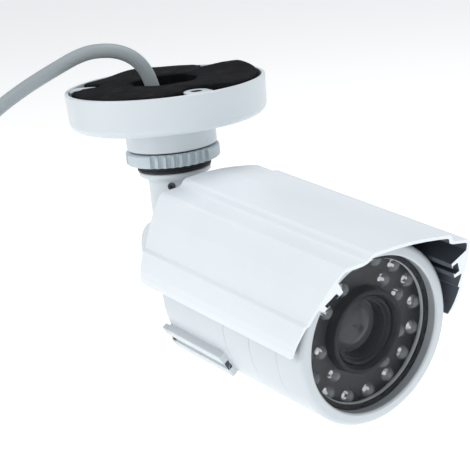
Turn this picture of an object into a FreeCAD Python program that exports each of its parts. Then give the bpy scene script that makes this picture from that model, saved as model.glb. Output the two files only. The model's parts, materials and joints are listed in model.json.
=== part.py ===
import FreeCAD, Part
import math
import os
import PartDesign
import Sketcher

V = FreeCAD.Vector
X = V(1, 0, 0)
Y = V(0, 1, 0)
Z = V(0, 0, 1)

# ---------------------------------------------------------------------------
# Driving dimensions of the camera, in millimetres and degrees.
# ---------------------------------------------------------------------------
SIZES = [
    # bracket base
    ("base_radius", 38.5), ("base_low_radius", 37.9), ("base_height", 14.2),
    ("base_corner", 3.6), ("rim_inner", 37.1), ("ledge_inner", 33.4),
    ("ledge_depth", 4.2), ("floor_depth", 11.6), ("base_cone_depth", 15.5),
    ("boss_radius", 4.3), ("boss_circle", 30.5), ("boss_hole", 2.25),
    ("stem_radius", 17.5), ("stem_bottom", 24.6), ("thread_radius", 15.35),
    ("thread_bottom", 28.0), ("socket_radius", 12.9), ("socket_top", 17.6),
    ("stem_bore", 8.4), ("web_width", 4.6),
    ("foam_outer", 36.7), ("foam_inner", 12.5), ("foam_top", 1.1),
    # lock ring
    ("ring_outer", 18.25), ("ring_top", 25.2), ("ring_bottom", 30.2),
    ("ring_bore", 15.7), ("ring_lip", 10.3), ("ring_lip_top", 28.6),
    ("flute_radius", 1.15), ("flute_circle", 18.75), ("flute_step", 10.0),
    # swivel arm
    ("arm_bore", 6.6), ("spigot_radius", 9.7), ("spigot_top", 19.4),
    ("flange_radius", 14.0), ("flange_top", 33.3), ("flange_bottom", 35.6),
    ("neck_radius", 10.7), ("neck_bottom", 52.3), ("pivot_depth", 65.9),
    ("eye_radius", 13.0), ("eye_width", 11.0), ("tilt_hole", 2.8),
    ("bolt_radius", 2.5), ("cheek_inner", 6.5), ("cheek_outer", 11.5),
    # barrel, measured along its own axis from the tilt pivot
    ("disc_start", 15.5), ("disc_end", 19.2), ("disc_radius", 17.5),
    ("roll_spigot", 9.0), ("roll_end", 31.5), ("wire_bore", 5.5),
    ("cap_start", 19.6), ("cap_face_radius", 20.5), ("cap_end", 32.5),
    ("barrel_radius", 32.6), ("barrel_inner", 29.8), ("joint_inner", 28.2),
    ("joint_outer", 29.7), ("joint_length", 5.0), ("seam_bevel", 0.3),
    ("seam_one", 69.0), ("seam_two", 83.5), ("seam_three", 98.5),
    ("barrel_end", 112.0), ("window_radius", 28.0), ("glass_face", 111.3),
    ("glass_back", 108.3), ("seat_inner", 25.8), ("bezel_corner", 2.4),
    ("rail_start", 30.8), ("rail_end", 66.0), ("rail_angle", 37.0),
    ("rail_top", 35.2), ("rail_half", 5.6), ("rail_slot", 1.6),
    ("tongue_neck", 1.0), ("tongue_head", 2.0), ("tongue_step", 33.9),
    ("tongue_top", 35.1),
    # lamps and lens
    ("lamp_outer_circle", 24.4), ("lamp_inner_circle", 18.4),
    ("lamp_radius", 2.5), ("lamp_flange", 2.85), ("board_front", 98.0),
    ("board_thick", 1.6), ("lamp_tip", 106.4), ("mask_back", 101.8),
    ("mask_front", 104.0), ("shroud_inner", 12.8), ("shroud_outer", 15.2),
    ("lens_front", 106.2), ("lens_radius", 12.4), ("lens_body", 10.8),
    ("control_radius", 13.7),
    # sunshield
    ("shield_wall", 1.5), ("shield_rear", 24.0), ("shield_rake", 0.4416),
    ("shield_front", 110.9),
    # pose of the barrel and lay of the cable
    ("tilt_rest", 6.8), ("roll_rest", 3.73),
    ("cable_radius", 2.75), ("floor_level", 215.0), ("coil_radius", 29.0),
    ("video_radius", 2.0), ("power_radius", 1.75),
]
ALIAS = dict(SIZES)


class Q:
    """A length that carries both its value and its spreadsheet expression."""

    def __init__(self, v, e=None):
        self.v = float(v)
        self.e = e if e is not None else "%.6f" % v

    def _q(self, o):
        return o if isinstance(o, Q) else Q(o)

    def __add__(self, o):
        o = self._q(o)
        return Q(self.v + o.v, "(%s + %s)" % (self.e, o.e))

    __radd__ = __add__

    def __sub__(self, o):
        o = self._q(o)
        return Q(self.v - o.v, "(%s - %s)" % (self.e, o.e))

    def __rsub__(self, o):
        return self._q(o) - self

    def __mul__(self, o):
        o = self._q(o)
        return Q(self.v * o.v, "(%s * %s)" % (self.e, o.e))

    __rmul__ = __mul__

    def __truediv__(self, o):
        o = self._q(o)
        return Q(self.v / o.v, "(%s / %s)" % (self.e, o.e))

    def __neg__(self):
        return Q(-self.v, "(0 - %s)" % self.e)


def D(name):
    return Q(ALIAS[name], "Dims." + name)


def q(x):
    return x if isinstance(x, Q) else Q(x)


doc = FreeCAD.newDocument("security_camera")
sheet = doc.addObject("Spreadsheet::Sheet", "Dims")
sheet.set("A1", "size")
sheet.set("B1", "value")
for row, (name, value) in enumerate(SIZES, start=2):
    sheet.set("A%d" % row, name)
    sheet.set("B%d" % row, repr(value))
    sheet.setAlias("B%d" % row, name)
doc.recompute()
# from here on every size is the one the sheet holds
for name, _ in SIZES:
    ALIAS[name] = float(sheet.get(name))

EXPORT = []


# ---------------------------------------------------------------------------
# Helpers: sketches with every corner driven by the sheet, and features on them.
# ---------------------------------------------------------------------------
def new_body(name, placement=None):
    body = doc.addObject("PartDesign::Body", name)
    body.Label = name
    if placement is not None:
        body.Placement = placement
    return body


def plane_of(body, role):
    for f in body.Origin.OriginFeatures:
        if f.Role == role:
            return f
    raise RuntimeError("no plane " + role)


def sketch_on(body, role, name, offset=0, off_expr=None):
    sk = body.newObject("Sketcher::SketchObject", name)
    sk.AttachmentSupport = [(plane_of(body, role), "")]
    sk.MapMode = "FlatFace"
    offset = q(offset)
    sk.AttachmentOffset = FreeCAD.Placement(V(0, 0, offset.v), FreeCAD.Rotation())
    sk.setExpression("AttachmentOffset.Base.z", offset.e)
    return sk


def polygon(sk, points):
    """A closed outline; each corner's two coordinates are bound to the sheet."""
    pts = [(q(a), q(b)) for a, b in points]
    start = sk.GeometryCount
    n = len(pts)
    for i in range(n):
        a, b = pts[i], pts[(i + 1) % n]
        sk.addGeometry(Part.LineSegment(V(a[0].v, a[1].v, 0), V(b[0].v, b[1].v, 0)), False)
    for i in range(n):
        sk.addConstraint(Sketcher.Constraint("Coincident", start + i, 2, start + (i + 1) % n, 1))
    for i in range(n):
        for kind, k in (("DistanceX", 0), ("DistanceY", 1)):
            c = sk.addConstraint(Sketcher.Constraint(kind, -1, 1, start + i, 1, pts[i][k].v))
            label = "%s%d" % ("px" if k == 0 else "py", start + i)
            sk.renameConstraint(c, label)
            if "Dims." in pts[i][k].e:
                sk.setExpression("Constraints." + label, pts[i][k].e)
    return sk


def circle(sk, cx, cy, r):
    cx, cy, r = q(cx), q(cy), q(r)
    g = sk.addGeometry(Part.Circle(V(cx.v, cy.v, 0), Z, r.v), False)
    for kind, k, val in (("DistanceX", "cx", cx), ("DistanceY", "cy", cy)):
        c = sk.addConstraint(Sketcher.Constraint(kind, -1, 1, g, 3, val.v))
        sk.renameConstraint(c, "%s%d" % (k, g))
        if "Dims." in val.e:
            sk.setExpression("Constraints.%s%d" % (k, g), val.e)
    c = sk.addConstraint(Sketcher.Constraint("Radius", g, r.v))
    sk.renameConstraint(c, "cr%d" % g)
    if "Dims." in r.e:
        sk.setExpression("Constraints.cr%d" % g, r.e)
    return sk


def revolve_x(name, points, placement=None, export=True, body=None, tag=""):
    """A turned piece about X: points are (along X, radius)."""
    body = body or new_body(name, placement)
    sk = sketch_on(body, "XY_Plane", name + "_profile" + tag)
    polygon(sk, points)
    f = body.newObject("PartDesign::Revolution", name + "_turn" + tag)
    f.Profile = sk
    f.ReferenceAxis = (sk, ["H_Axis"])
    f.Angle = 360
    body.Tip = f
    if export:
        EXPORT.append(body)
    return body


def revolve_z(name, points, placement=None, export=True, body=None, tag=""):
    """A turned piece about Z: points are (radius, height)."""
    body = body or new_body(name, placement)
    sk = sketch_on(body, "XZ_Plane", name + "_profile" + tag)
    polygon(sk, points)
    f = body.newObject("PartDesign::Revolution", name + "_turn" + tag)
    f.Profile = sk
    f.ReferenceAxis = (sk, ["V_Axis"])
    f.Angle = 360
    body.Tip = f
    if export:
        EXPORT.append(body)
    return body


def pad(body, role, tag, drawer, start, length, cut=False):
    """A pad or pocket from start to start + length along the plane's normal."""
    start, length = q(start), q(length)
    sk = sketch_on(body, role, body.Name + "_sk_" + tag, start)
    drawer(sk)
    doc.recompute()
    before = body.Shape.Volume if body.Tip is not None and not body.Shape.isNull() else 0.0
    kind = "PartDesign::Pocket" if cut else "PartDesign::Pad"
    f = body.newObject(kind, body.Name + "_" + tag)
    f.Profile = sk
    f.Length = length.v
    if "Dims." in length.e:
        f.setExpression("Length", length.e)
    f.Reversed = bool(cut)
    body.Tip = f
    doc.recompute()
    after = body.Shape.Volume
    if cut and not after < before - 1e-6:
        raise RuntimeError("pocket cuts nothing: " + f.Name)
    if not cut and not after > before + 1e-6:
        raise RuntimeError("pad adds nothing: " + f.Name)
    return f


def polar(body, feature, tag, axis_role, count, angle=360.0):
    p = body.newObject("PartDesign::PolarPattern", body.Name + "_" + tag)
    p.Originals = [feature]
    for f in body.Origin.OriginFeatures:
        if f.Role == axis_role:
            p.Axis = (f, [""])
    p.Angle = angle
    p.Occurrences = count
    body.Tip = p
    doc.recompute()
    return p


def fillet(body, tag, radius, picker):
    """Round the edges that picker(edge) accepts."""
    doc.recompute()
    base = body.Tip
    names = []
    for i, e in enumerate(base.Shape.Edges, start=1):
        if picker(e):
            names.append("Edge%d" % i)
    if not names:
        raise RuntimeError("no edges for " + tag)
    f = body.newObject("PartDesign::Fillet", body.Name + "_" + tag)
    f.Base = (base, names)
    radius = q(radius)
    f.Radius = radius.v
    if "Dims." in radius.e:
        f.setExpression("Radius", radius.e)
    body.Tip = f
    doc.recompute()
    return f


def ring_edge(radius, z=None, x=None, tol=0.02):
    def pick(e):
        c = getattr(e, "Curve", None)
        if c is None or not hasattr(c, "Radius"):
            return False
        if abs(c.Radius - radius) > tol:
            return False
        if z is not None and abs(c.Center.z - z) > tol:
            return False
        if x is not None and abs(c.Center.x - x) > tol:
            return False
        return True
    return pick


def cyl(name, r, length, base, direction, placement=None):
    """A Part::Cylinder with sheet-driven radius and height."""
    o = doc.addObject("Part::Cylinder", name)
    r, length = q(r), q(length)
    o.Radius = r.v
    o.Height = length.v
    if "Dims." in r.e:
        o.setExpression("Radius", r.e)
    if "Dims." in length.e:
        o.setExpression("Height", length.e)
    local = FreeCAD.Placement(V(*base), FreeCAD.Rotation(Z, V(*direction)))
    o.Placement = (placement or FreeCAD.Placement()).multiply(local)
    return o


def box(name, size, corner, placement=None):
    o = doc.addObject("Part::Box", name)
    for key, val in zip(("Length", "Width", "Height"), size):
        val = q(val)
        setattr(o, key, val.v)
        if "Dims." in val.e:
            o.setExpression(key, val.e)
    o.Placement = (placement or FreeCAD.Placement()).multiply(FreeCAD.Placement(V(*corner), FreeCAD.Rotation()))
    return o


def export(obj, label):
    obj.Label = label
    EXPORT.append(obj)
    return obj


def fuse(name, shapes, label=None):
    o = doc.addObject("Part::MultiFuse", name)
    o.Shapes = shapes
    if label:
        export(o, label)
    return o


def cut(name, base, tool, label=None):
    o = doc.addObject("Part::Cut", name)
    o.Base = base
    o.Tool = tool
    if label:
        export(o, label)
    return o


def group_of(name, seed, placements):
    """Identical pieces in one node: copies of a modelled seed solid."""
    doc.recompute()
    shapes = []
    for p in placements:
        s = seed.Shape.copy()
        s.Placement = p.multiply(s.Placement)
        shapes.append(s)
    o = doc.addObject("Part::Feature", name)
    o.Shape = Part.makeCompound(shapes)
    o.Placement = FreeCAD.Placement()
    export(o, name)
    return o


def rot(axis, degrees):
    return FreeCAD.Placement(V(0, 0, 0), FreeCAD.Rotation(axis, degrees))


# Place of the barrel: tilt about Y at the pivot, then roll about its own axis.
PIVOT = V(0, 0, -ALIAS["pivot_depth"])
TILT = FreeCAD.Placement(PIVOT, FreeCAD.Rotation(Y, ALIAS["tilt_rest"]))
BARREL = TILT.multiply(FreeCAD.Placement(V(0, 0, 0), FreeCAD.Rotation(X, -ALIAS["roll_rest"])))
BOSS_AZ = [-132.0, -12.0, 108.0]

# ---------------------------------------------------------------------------
# 1. Bracket base: a shallow cast cup with three screw bosses and a threaded stem
# ---------------------------------------------------------------------------
base = revolve_z("mount_base", [
    (D("rim_inner"), 0.0), (D("base_radius"), 0.0),
    (D("base_low_radius"), -D("base_height")),
    (D("stem_radius"), -D("base_cone_depth")),
    (D("stem_radius"), -D("stem_bottom")),
    (D("thread_radius"), -D("stem_bottom")),
    (D("thread_radius"), -D("thread_bottom")),
    (D("socket_radius"), -D("thread_bottom")),
    (D("socket_radius"), -D("socket_top")),
    (D("stem_bore"), -D("socket_top")),
    (D("stem_bore"), -D("floor_depth")),
    (D("ledge_inner"), -D("floor_depth")),
    (D("ledge_inner"), -D("ledge_depth")),
    (D("rim_inner"), -D("ledge_depth")),
])
fillet(base, "lower_edge", D("base_corner"), ring_edge(ALIAS["base_low_radius"], z=-ALIAS["base_height"]))
fillet(base, "stem_root", 1.6, ring_edge(ALIAS["stem_radius"], z=-ALIAS["base_cone_depth"]))
fillet(base, "stem_foot", 0.7, ring_edge(ALIAS["stem_radius"], z=-ALIAS["stem_bottom"]))
az0 = math.radians(BOSS_AZ[0])
bx, by = math.cos(az0), math.sin(az0)


def boss_circle(sk):
    circle(sk, D("boss_circle") * bx, D("boss_circle") * by, D("boss_radius"))


def boss_web(sk):
    w = D("web_width") * 0.5
    r0, r1 = D("boss_circle"), D("rim_inner") + 0.5
    polygon(sk, [
        (r0 * bx - w * by, r0 * by + w * bx), (r0 * bx + w * by, r0 * by - w * bx),
        (r1 * bx + w * by, r1 * by - w * bx), (r1 * bx - w * by, r1 * by + w * bx)])


def boss_hole(sk):
    circle(sk, D("boss_circle") * bx, D("boss_circle") * by, D("boss_hole"))


boss = pad(base, "XY_Plane", "boss", boss_circle, -D("floor_depth") - 0.5, D("floor_depth") + 0.5)
polar(base, boss, "bosses", "Z_Axis", 3)
web = pad(base, "XY_Plane", "web", boss_web, -D("floor_depth") - 0.5, D("floor_depth") - 0.3)
polar(base, web, "webs", "Z_Axis", 3)
hole = pad(base, "XY_Plane", "boss_hole", boss_hole, -20.0, 25.0, cut=True)
polar(base, hole, "boss_holes", "Z_Axis", 3)

# 2. Foam gasket on the ledge, notched round the bosses
foam = new_body("foam_gasket")


def foam_outline(sk):
    circle(sk, 0, 0, D("foam_outer"))
    circle(sk, 0, 0, D("foam_inner"))


pad(foam, "XY_Plane", "sheet", foam_outline, -D("ledge_depth"), D("ledge_depth") + D("foam_top"))


def foam_notch(sk):
    w = D("boss_radius") + 0.9
    r0, r1 = D("boss_circle"), D("foam_outer") + 2
    n = 10
    pts = []
    for k in range(n + 1):
        a = math.pi / 2 + math.pi * k / n
        lx, ly = math.cos(a), math.sin(a)
        pts.append((r0 * bx + w * (lx * bx - ly * by), r0 * by + w * (lx * by + ly * bx)))
    pts.append((r1 * bx + w * by, r1 * by - w * bx))
    pts.append((r1 * bx - w * by, r1 * by + w * bx))
    polygon(sk, pts)


notch = pad(foam, "XY_Plane", "notch", foam_notch, -D("ledge_depth") - 1, D("ledge_depth") + D("foam_top") + 2, cut=True)
polar(foam, notch, "notches", "Z_Axis", 3)
EXPORT.append(foam)

# 3. Rubber grommet that carries the cable through the cup's floor
LX, LY = -0.59815816, -0.80137808   # direction in which the cable leans
CAB_OFF = 3.6
grom = revolve_z("cable_grommet", [
    (0.0, -16.8), (D("stem_bore") - 0.05, -16.8), (D("stem_bore") - 0.05, -D("floor_depth") + 0.05),
    (10.2, -D("floor_depth") + 0.05), (10.2, -10.2), (9.4, -9.6), (0.0, -9.6)])
pad(grom, "XY_Plane", "cable_hole",
    lambda sk: circle(sk, CAB_OFF * LX, CAB_OFF * LY, D("cable_radius") + 0.05), -18.0, 10.0, cut=True)

# ---------------------------------------------------------------------------
# 4. Lock ring with three groups of flutes
# ---------------------------------------------------------------------------
ring = revolve_z("lock_ring", [
    (D("ring_bore"), -D("ring_top")), (D("ring_outer") - 0.6, -D("ring_top")),
    (D("ring_outer"), -D("ring_top") - 0.6), (D("ring_outer"), -D("ring_bottom") + 0.9),
    (D("ring_outer") - 1.0, -D("ring_bottom")), (D("ring_lip"), -D("ring_bottom")),
    (D("ring_lip"), -D("ring_lip_top")), (D("ring_bore"), -D("ring_lip_top"))])
RING_MID = -24.5


def flutes(sk):
    for g in range(3):
        for k in range(8):
            a = math.radians(RING_MID + 120.0 * g + (k - 3.5) * ALIAS["flute_step"])
            circle(sk, D("flute_circle") * math.cos(a), D("flute_circle") * math.sin(a), D("flute_radius"))


pad(ring, "XY_Plane", "flutes", flutes, -D("ring_bottom") - 1, 8.0, cut=True)

# ---------------------------------------------------------------------------
# 5. Swivel arm: hollow spigot, flange, neck and tilt eye
# ---------------------------------------------------------------------------
arm = revolve_z("swivel_arm", [
    (D("arm_bore"), -D("spigot_top")), (D("spigot_radius"), -D("spigot_top")),
    (D("spigot_radius"), -D("flange_top")), (D("flange_radius") - 0.4, -D("flange_top")),
    (D("flange_radius"), -D("flange_top") - 0.4), (D("flange_radius"), -D("flange_bottom") + 0.8),
    (D("flange_radius") - 1.1, -D("flange_bottom") - 0.2), (D("neck_radius") + 0.5, -D("flange_bottom") - 0.6),
    (D("neck_radius"), -D("flange_bottom") - 1.2), (D("neck_radius"), -D("neck_bottom") + 1.2),
    (D("neck_radius") - 1.2, -D("neck_bottom")), (D("arm_bore"), -D("neck_bottom"))])


def eye_disc(sk):
    circle(sk, 0, -D("pivot_depth"), D("eye_radius"))


def eye_web(sk):
    w = D("neck_radius") - 1.0
    polygon(sk, [(-w, -D("pivot_depth")), (w, -D("pivot_depth")),
                 (w, -D("neck_bottom") + 0.5), (-w, -D("neck_bottom") + 0.5)])


def eye_hole(sk):
    circle(sk, 0, -D("pivot_depth"), D("tilt_hole"))


def wire_slot(sk):
    polygon(sk, [(-3.4, -D("pivot_depth") + 7.5), (3.4, -D("pivot_depth") + 7.5),
                 (3.4, -D("neck_bottom") + 1.5), (-3.4, -D("neck_bottom") + 1.5)])


pad(arm, "XZ_Plane", "eye_web", eye_web, -D("eye_width") * 0.5, D("eye_width"))
pad(arm, "XZ_Plane", "eye_disc", eye_disc, -D("eye_width") * 0.5, D("eye_width"))
pad(arm, "XZ_Plane", "eye_hole", eye_hole, -D("eye_width"), D("eye_width") * 2, cut=True)
pad(arm, "XZ_Plane", "wire_slot", wire_slot, -3.2, 6.4, cut=True)
SCREW_AZ = -44.0
screw_dir = V(math.cos(math.radians(SCREW_AZ)), math.sin(math.radians(SCREW_AZ)), 0)
SCREW_Z = -38.7
arm_screw_hole = cyl("arm_screw_hole", 1.55, 8.0, tuple(screw_dir * 6.0 + V(0, 0, SCREW_Z)), tuple(screw_dir))
EXPORT.remove(arm)
arm.Label = "swivel_arm_turned"
arm_cut = cut("arm_cut", arm, arm_screw_hole, "swivel_arm")

# 6. Set screw that stops the arm, with its hexagon socket
set_body = cyl("set_screw_body", 1.5, 3.6, tuple(screw_dir * 7.4 + V(0, 0, SCREW_Z)), tuple(screw_dir))
hexa = doc.addObject("Part::Prism", "set_screw_hex")
hexa.Polygon = 6
hexa.Circumradius = 0.9
hexa.Height = 2.0
hexa.Placement = FreeCAD.Placement(screw_dir * 9.6 + V(0, 0, SCREW_Z), FreeCAD.Rotation(Z, screw_dir))
cut("set_screw_cut", set_body, hexa, "arm_set_screw")

# 7. Seal, washer and nut of the swivel
revolve_z("swivel_seal", [
    (D("spigot_radius") + 0.05, -D("ring_bottom") - 0.5), (13.9, -D("ring_bottom") - 0.5),
    (14.4, -D("ring_bottom") - 0.9), (14.4, -D("flange_top") + 0.5), (14.0, -D("flange_top") + 0.05),
    (D("spigot_radius") + 0.05, -D("flange_top") + 0.05)])
revolve_z("swivel_washer", [
    (D("spigot_radius") + 0.05, -D("ring_lip_top") + 1.3), (12.4, -D("ring_lip_top") + 1.3),
    (12.4, -D("ring_lip_top") + 0.35), (D("spigot_radius") + 0.05, -D("ring_lip_top") + 0.35)])
nut = revolve_z("swivel_nut", [
    (D("spigot_radius") + 0.05, -D("ring_lip_top") + 1.4), (12.3, -D("ring_lip_top") + 1.4),
    (12.3, -21.8), (11.8, -21.3), (D("spigot_radius") + 0.05, -21.3)])
nut_slot = pad(nut, "XY_Plane", "spanner_slot",
               lambda sk: polygon(sk, [(11.2, -1.1), (13.0, -1.1), (13.0, 1.1), (11.2, 1.1)]),
               -23.6, 4.0, cut=True)
polar(nut, nut_slot, "spanner_slots", "Z_Axis", 4)

# ---------------------------------------------------------------------------
# 8. Rear yoke: two cheeks, a disc and the hollow roll spigot
# ---------------------------------------------------------------------------
yoke = revolve_x("rear_yoke", [
    (D("disc_start"), D("wire_bore")), (D("disc_start"), D("disc_radius") - 1.0),
    (D("disc_start") + 1.0, D("disc_radius")), (D("disc_end"), D("disc_radius")),
    (D("disc_end"), D("roll_spigot")), (D("roll_end"), D("roll_spigot")),
    (D("roll_end"), D("wire_bore"))], TILT)


def cheek(sk):
    circle(sk, 0, 0, D("eye_radius"))


def cheek_web(sk):
    polygon(sk, [(0, -D("eye_radius") + 1.5), (D("disc_start") + 0.5, -D("eye_radius") + 1.5),
                 (D("disc_start") + 0.5, D("eye_radius") - 1.5), (0, D("eye_radius") - 1.5)])


for side, y0 in (("near", D("cheek_inner")), ("far", -D("cheek_outer"))):
    pad(yoke, "XZ_Plane", "cheek_web_" + side, cheek_web, y0, D("cheek_outer") - D("cheek_inner"))
    pad(yoke, "XZ_Plane", "cheek_" + side, cheek, y0, D("cheek_outer") - D("cheek_inner"))
pad(yoke, "XZ_Plane", "bolt_hole", lambda sk: circle(sk, 0, 0, D("bolt_radius") + 0.05), -20.0, 40.0, cut=True)

# 9. Tilt bolt, washers and nut
bolt_shank = cyl("bolt_shank", D("bolt_radius"), 28.6, (0, -12.1, 0), (0, 1, 0), TILT)
bolt_head = cyl("bolt_head", 4.3, 4.4, (0, -15.95, 0), (0, 1, 0), TILT)
bolt_hex = doc.addObject("Part::Prism", "bolt_hex")
bolt_hex.Polygon = 6
bolt_hex.Circumradius = 2.3
bolt_hex.Height = 3.0
bolt_hex.Placement = TILT.multiply(FreeCAD.Placement(V(0, -16.2, 0), FreeCAD.Rotation(Z, Y)))
bolt_solid = fuse("bolt_solid", [bolt_shank, bolt_head])
cut("bolt_cut", bolt_solid, bolt_hex, "tilt_bolt")
nut_hex = doc.addObject("Part::Prism", "nut_hex")
nut_hex.Polygon = 6
nut_hex.Circumradius = 4.6
nut_hex.Height = 4.0
nut_hex.Placement = TILT.multiply(FreeCAD.Placement(V(0, 11.55, 0), FreeCAD.Rotation(Z, Y)))
nut_bore = cyl("nut_bore", D("bolt_radius") + 0.03, 6.0, (0, 10.5, 0), (0, 1, 0), TILT)
cut("tilt_nut_cut", nut_hex, nut_bore, "tilt_nut")
wash = new_body("tilt_washer_seed")
pad(wash, "XZ_Plane", "ring", lambda sk: (circle(sk, 0, 0, 10.5), circle(sk, 0, 0, D("bolt_radius") + 0.1)), 0.0, 0.55)
doc.recompute()
wb = wash.Shape.BoundBox
group_of("tilt_washers", wash, [
    TILT.multiply(FreeCAD.Placement(V(0, 5.9 - wb.YMin, 0), FreeCAD.Rotation())),
    TILT.multiply(FreeCAD.Placement(V(0, -5.9 - wb.YMax, 0), FreeCAD.Rotation()))])

# 10. Roll nut inside the barrel's rear cap
revolve_x("roll_nut", [
    (27.5, D("roll_spigot") + 0.05), (27.5, 13.0), (30.6, 13.0), (31.0, 12.6), (31.0, D("roll_spigot") + 0.05)], TILT)

# ---------------------------------------------------------------------------
# 11. Rear cap, and the barrel's four sleeves
# ---------------------------------------------------------------------------
bev = D("seam_bevel")
cap = revolve_x("rear_cap", [
    (D("cap_start"), 9.4), (D("cap_start"), D("cap_face_radius") - 1.0),
    (D("cap_start") + 1.0, D("cap_face_radius")),
    (D("cap_start") + 6.6, 27.6), (D("cap_end") - 2.2, 31.2), (D("cap_end") - bev, D("barrel_radius") - 0.5),
    (D("cap_end"), D("barrel_radius") - 0.9), (D("cap_end"), D("joint_outer")),
    (D("cap_end") + D("joint_length"), D("joint_outer")), (D("cap_end") + D("joint_length"), D("joint_inner") - 0.6),
    (D("cap_end") - 1.0, D("joint_inner") - 0.6), (D("cap_start") + 5.0, 21.5),
    (D("cap_start") + 3.0, 18.0), (D("cap_start") + 3.0, 13.4), (D("cap_start") + 7.5, 13.4),
    (D("cap_start") + 7.5, 9.4)], BARREL)


def oring(name, x, placement=BARREL):
    o = doc.addObject("Part::Torus", name)
    o.Radius1 = ALIAS["joint_outer"] - 0.45
    o.setExpression("Radius1", "Dims.joint_outer - 0.45")
    o.Radius2 = 0.42
    o.Placement = placement.multiply(FreeCAD.Placement(V(x, 0, 0), FreeCAD.Rotation(Z, X)))
    return o


def sleeve(name, x0, x1, rear_spigot, front_points=None, chamfer_front=True):
    """One sleeve of the barrel, with an O-ring groove on its rear spigot."""
    pts = []
    if rear_spigot:
        pts += [(x0 - D("joint_length"), D("joint_inner")), (x0 - D("joint_length"), D("joint_outer")),
                (x0 - 3.7, D("joint_outer")), (x0 - 3.7, D("joint_outer") - 0.9),
                (x0 - 2.7, D("joint_outer") - 0.9), (x0 - 2.7, D("joint_outer")),
                (x0, D("joint_outer"))]
    else:
        pts += [(x0, D("barrel_inner"))]
    pts += [(x0, D("barrel_radius") - bev), (x0 + bev, D("barrel_radius"))]
    if front_points is None:
        pts += [(x1 - bev, D("barrel_radius")), (x1, D("barrel_radius") - bev), (x1, D("barrel_inner"))]
    else:
        pts += front_points
    if rear_spigot:
        pts += [(x0 + 3.0, D("barrel_inner")), (x0 + 3.0, D("joint_inner"))]
    return revolve_x(name, pts, BARREL)


rear = sleeve("rear_housing", D("cap_end"), D("seam_one"), False)


def at_angle(rho, tau, degrees):
    """Sketch point at radius rho and tangential offset tau round the barrel."""
    a = math.radians(degrees)
    rho, tau = q(rho), q(tau)
    return (rho * math.cos(a) - tau * math.sin(a), rho * math.sin(a) + tau * math.cos(a))


# lower accessory rails: open channels facing outwards
for tag, ang in (("left", 217.0), ("right", -37.0)):
    def lower(sk, ang=ang):
        rh, rs, rt = D("rail_half"), D("rail_slot"), D("rail_top")
        polygon(sk, [at_angle(30.6, -rh + 0.8, ang), at_angle(rt - 0.5, -rh, ang), at_angle(rt, -rh + 0.5, ang),
                     at_angle(rt, -rs, ang), at_angle(rt - 1.9, -rs, ang), at_angle(rt - 1.9, rs, ang),
                     at_angle(rt, rs, ang), at_angle(rt, rh - 0.5, ang), at_angle(rt - 0.5, rh, ang),
                     at_angle(30.6, rh - 0.8, ang)])
    pad(rear, "YZ_Plane", "rail_" + tag, lower, D("rail_start") + 1.8, D("rail_end") - D("rail_start") - 1.8)
    def foot(sk, ang=ang):
        rh, rs, rt = D("rail_half"), D("rail_slot"), D("rail_top")
        polygon(sk, [at_angle(rt - 2.3, -rh, ang), at_angle(rt - 0.5, -rh, ang), at_angle(rt, -rh + 0.5, ang),
                     at_angle(rt, -rs, ang), at_angle(rt - 1.9, -rs, ang), at_angle(rt - 1.9, rs, ang),
                     at_angle(rt, rs, ang), at_angle(rt, rh - 0.5, ang), at_angle(rt - 0.5, rh, ang),
                     at_angle(rt - 2.3, rh, ang)])
    pad(rear, "YZ_Plane", "rail_tail_" + tag, foot, D("rail_start"), 3.0)
# upper rails: T tongues that carry the sunshield
for tag, ang in (("left", 143.0), ("right", 37.0)):
    def tongue(sk, ang=ang):
        tn, th = D("tongue_neck"), D("tongue_head")
        polygon(sk, [at_angle(30.6, -tn, ang), at_angle(D("tongue_step"), -tn, ang), at_angle(D("tongue_step"), -th, ang),
                     at_angle(D("tongue_top"), -th, ang), at_angle(D("tongue_top"), th, ang),
                     at_angle(D("tongue_step"), th, ang), at_angle(D("tongue_step"), tn, ang), at_angle(30.6, tn, ang)])
    pad(rear, "YZ_Plane", "tongue_" + tag, tongue, D("cap_end") + 1.5, D("rail_end") - D("cap_end") - 1.5)

mid_sleeve = sleeve("middle_sleeve", D("seam_one"), D("seam_two"), True)
front_sleeve = sleeve("front_sleeve", D("seam_two"), D("seam_three"), True)
bezel = sleeve("front_bezel", D("seam_three"), D("barrel_end"), True, [
    (D("barrel_end"), D("barrel_radius")), (D("barrel_end"), D("window_radius") + 0.5),
    (D("glass_face") + 0.2, D("window_radius")), (D("glass_back") - 0.9, D("window_radius")),
    (D("glass_back") - 0.9, D("seat_inner")), (D("glass_back") - 2.2, D("seat_inner")),
    (D("glass_back") - 2.9, D("window_radius") + 0.2), (D("seam_three") + 4.0, D("window_radius") + 0.2)])
fillet(bezel, "outer_edge", D("bezel_corner"), ring_edge(ALIAS["barrel_radius"], x=ALIAS["barrel_end"]))

orings = [oring("oring_a", 65.8), oring("oring_b", 80.3), oring("oring_c", 95.3)]
doc.recompute()
o_rings = doc.addObject("Part::Compound", "sleeve_orings")
o_rings.Links = orings
export(o_rings, "sleeve_orings")

# radial screws that hold the cap, hidden under the sunshield
seed_screw = new_body("cap_screw_seed")
revolve_z("cap_screw_seed", [(0.0, 27.8), (1.2, 27.8), (1.2, 30.4), (2.2, 31.4), (2.2, 32.0), (0.0, 32.0)],
          None, export=False, body=seed_screw)
doc.recompute()
# clearance holes for them in the housing and the cap's spigot
CAP_SCREWS = [12.0, 90.0, 168.0]


def radial(deg, x):
    """Turns the seed's +Z into the radial direction at this angle round the barrel."""
    return BARREL.multiply(FreeCAD.Placement(V(x, 0, 0), FreeCAD.Rotation(X, deg - 90.0)))


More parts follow.
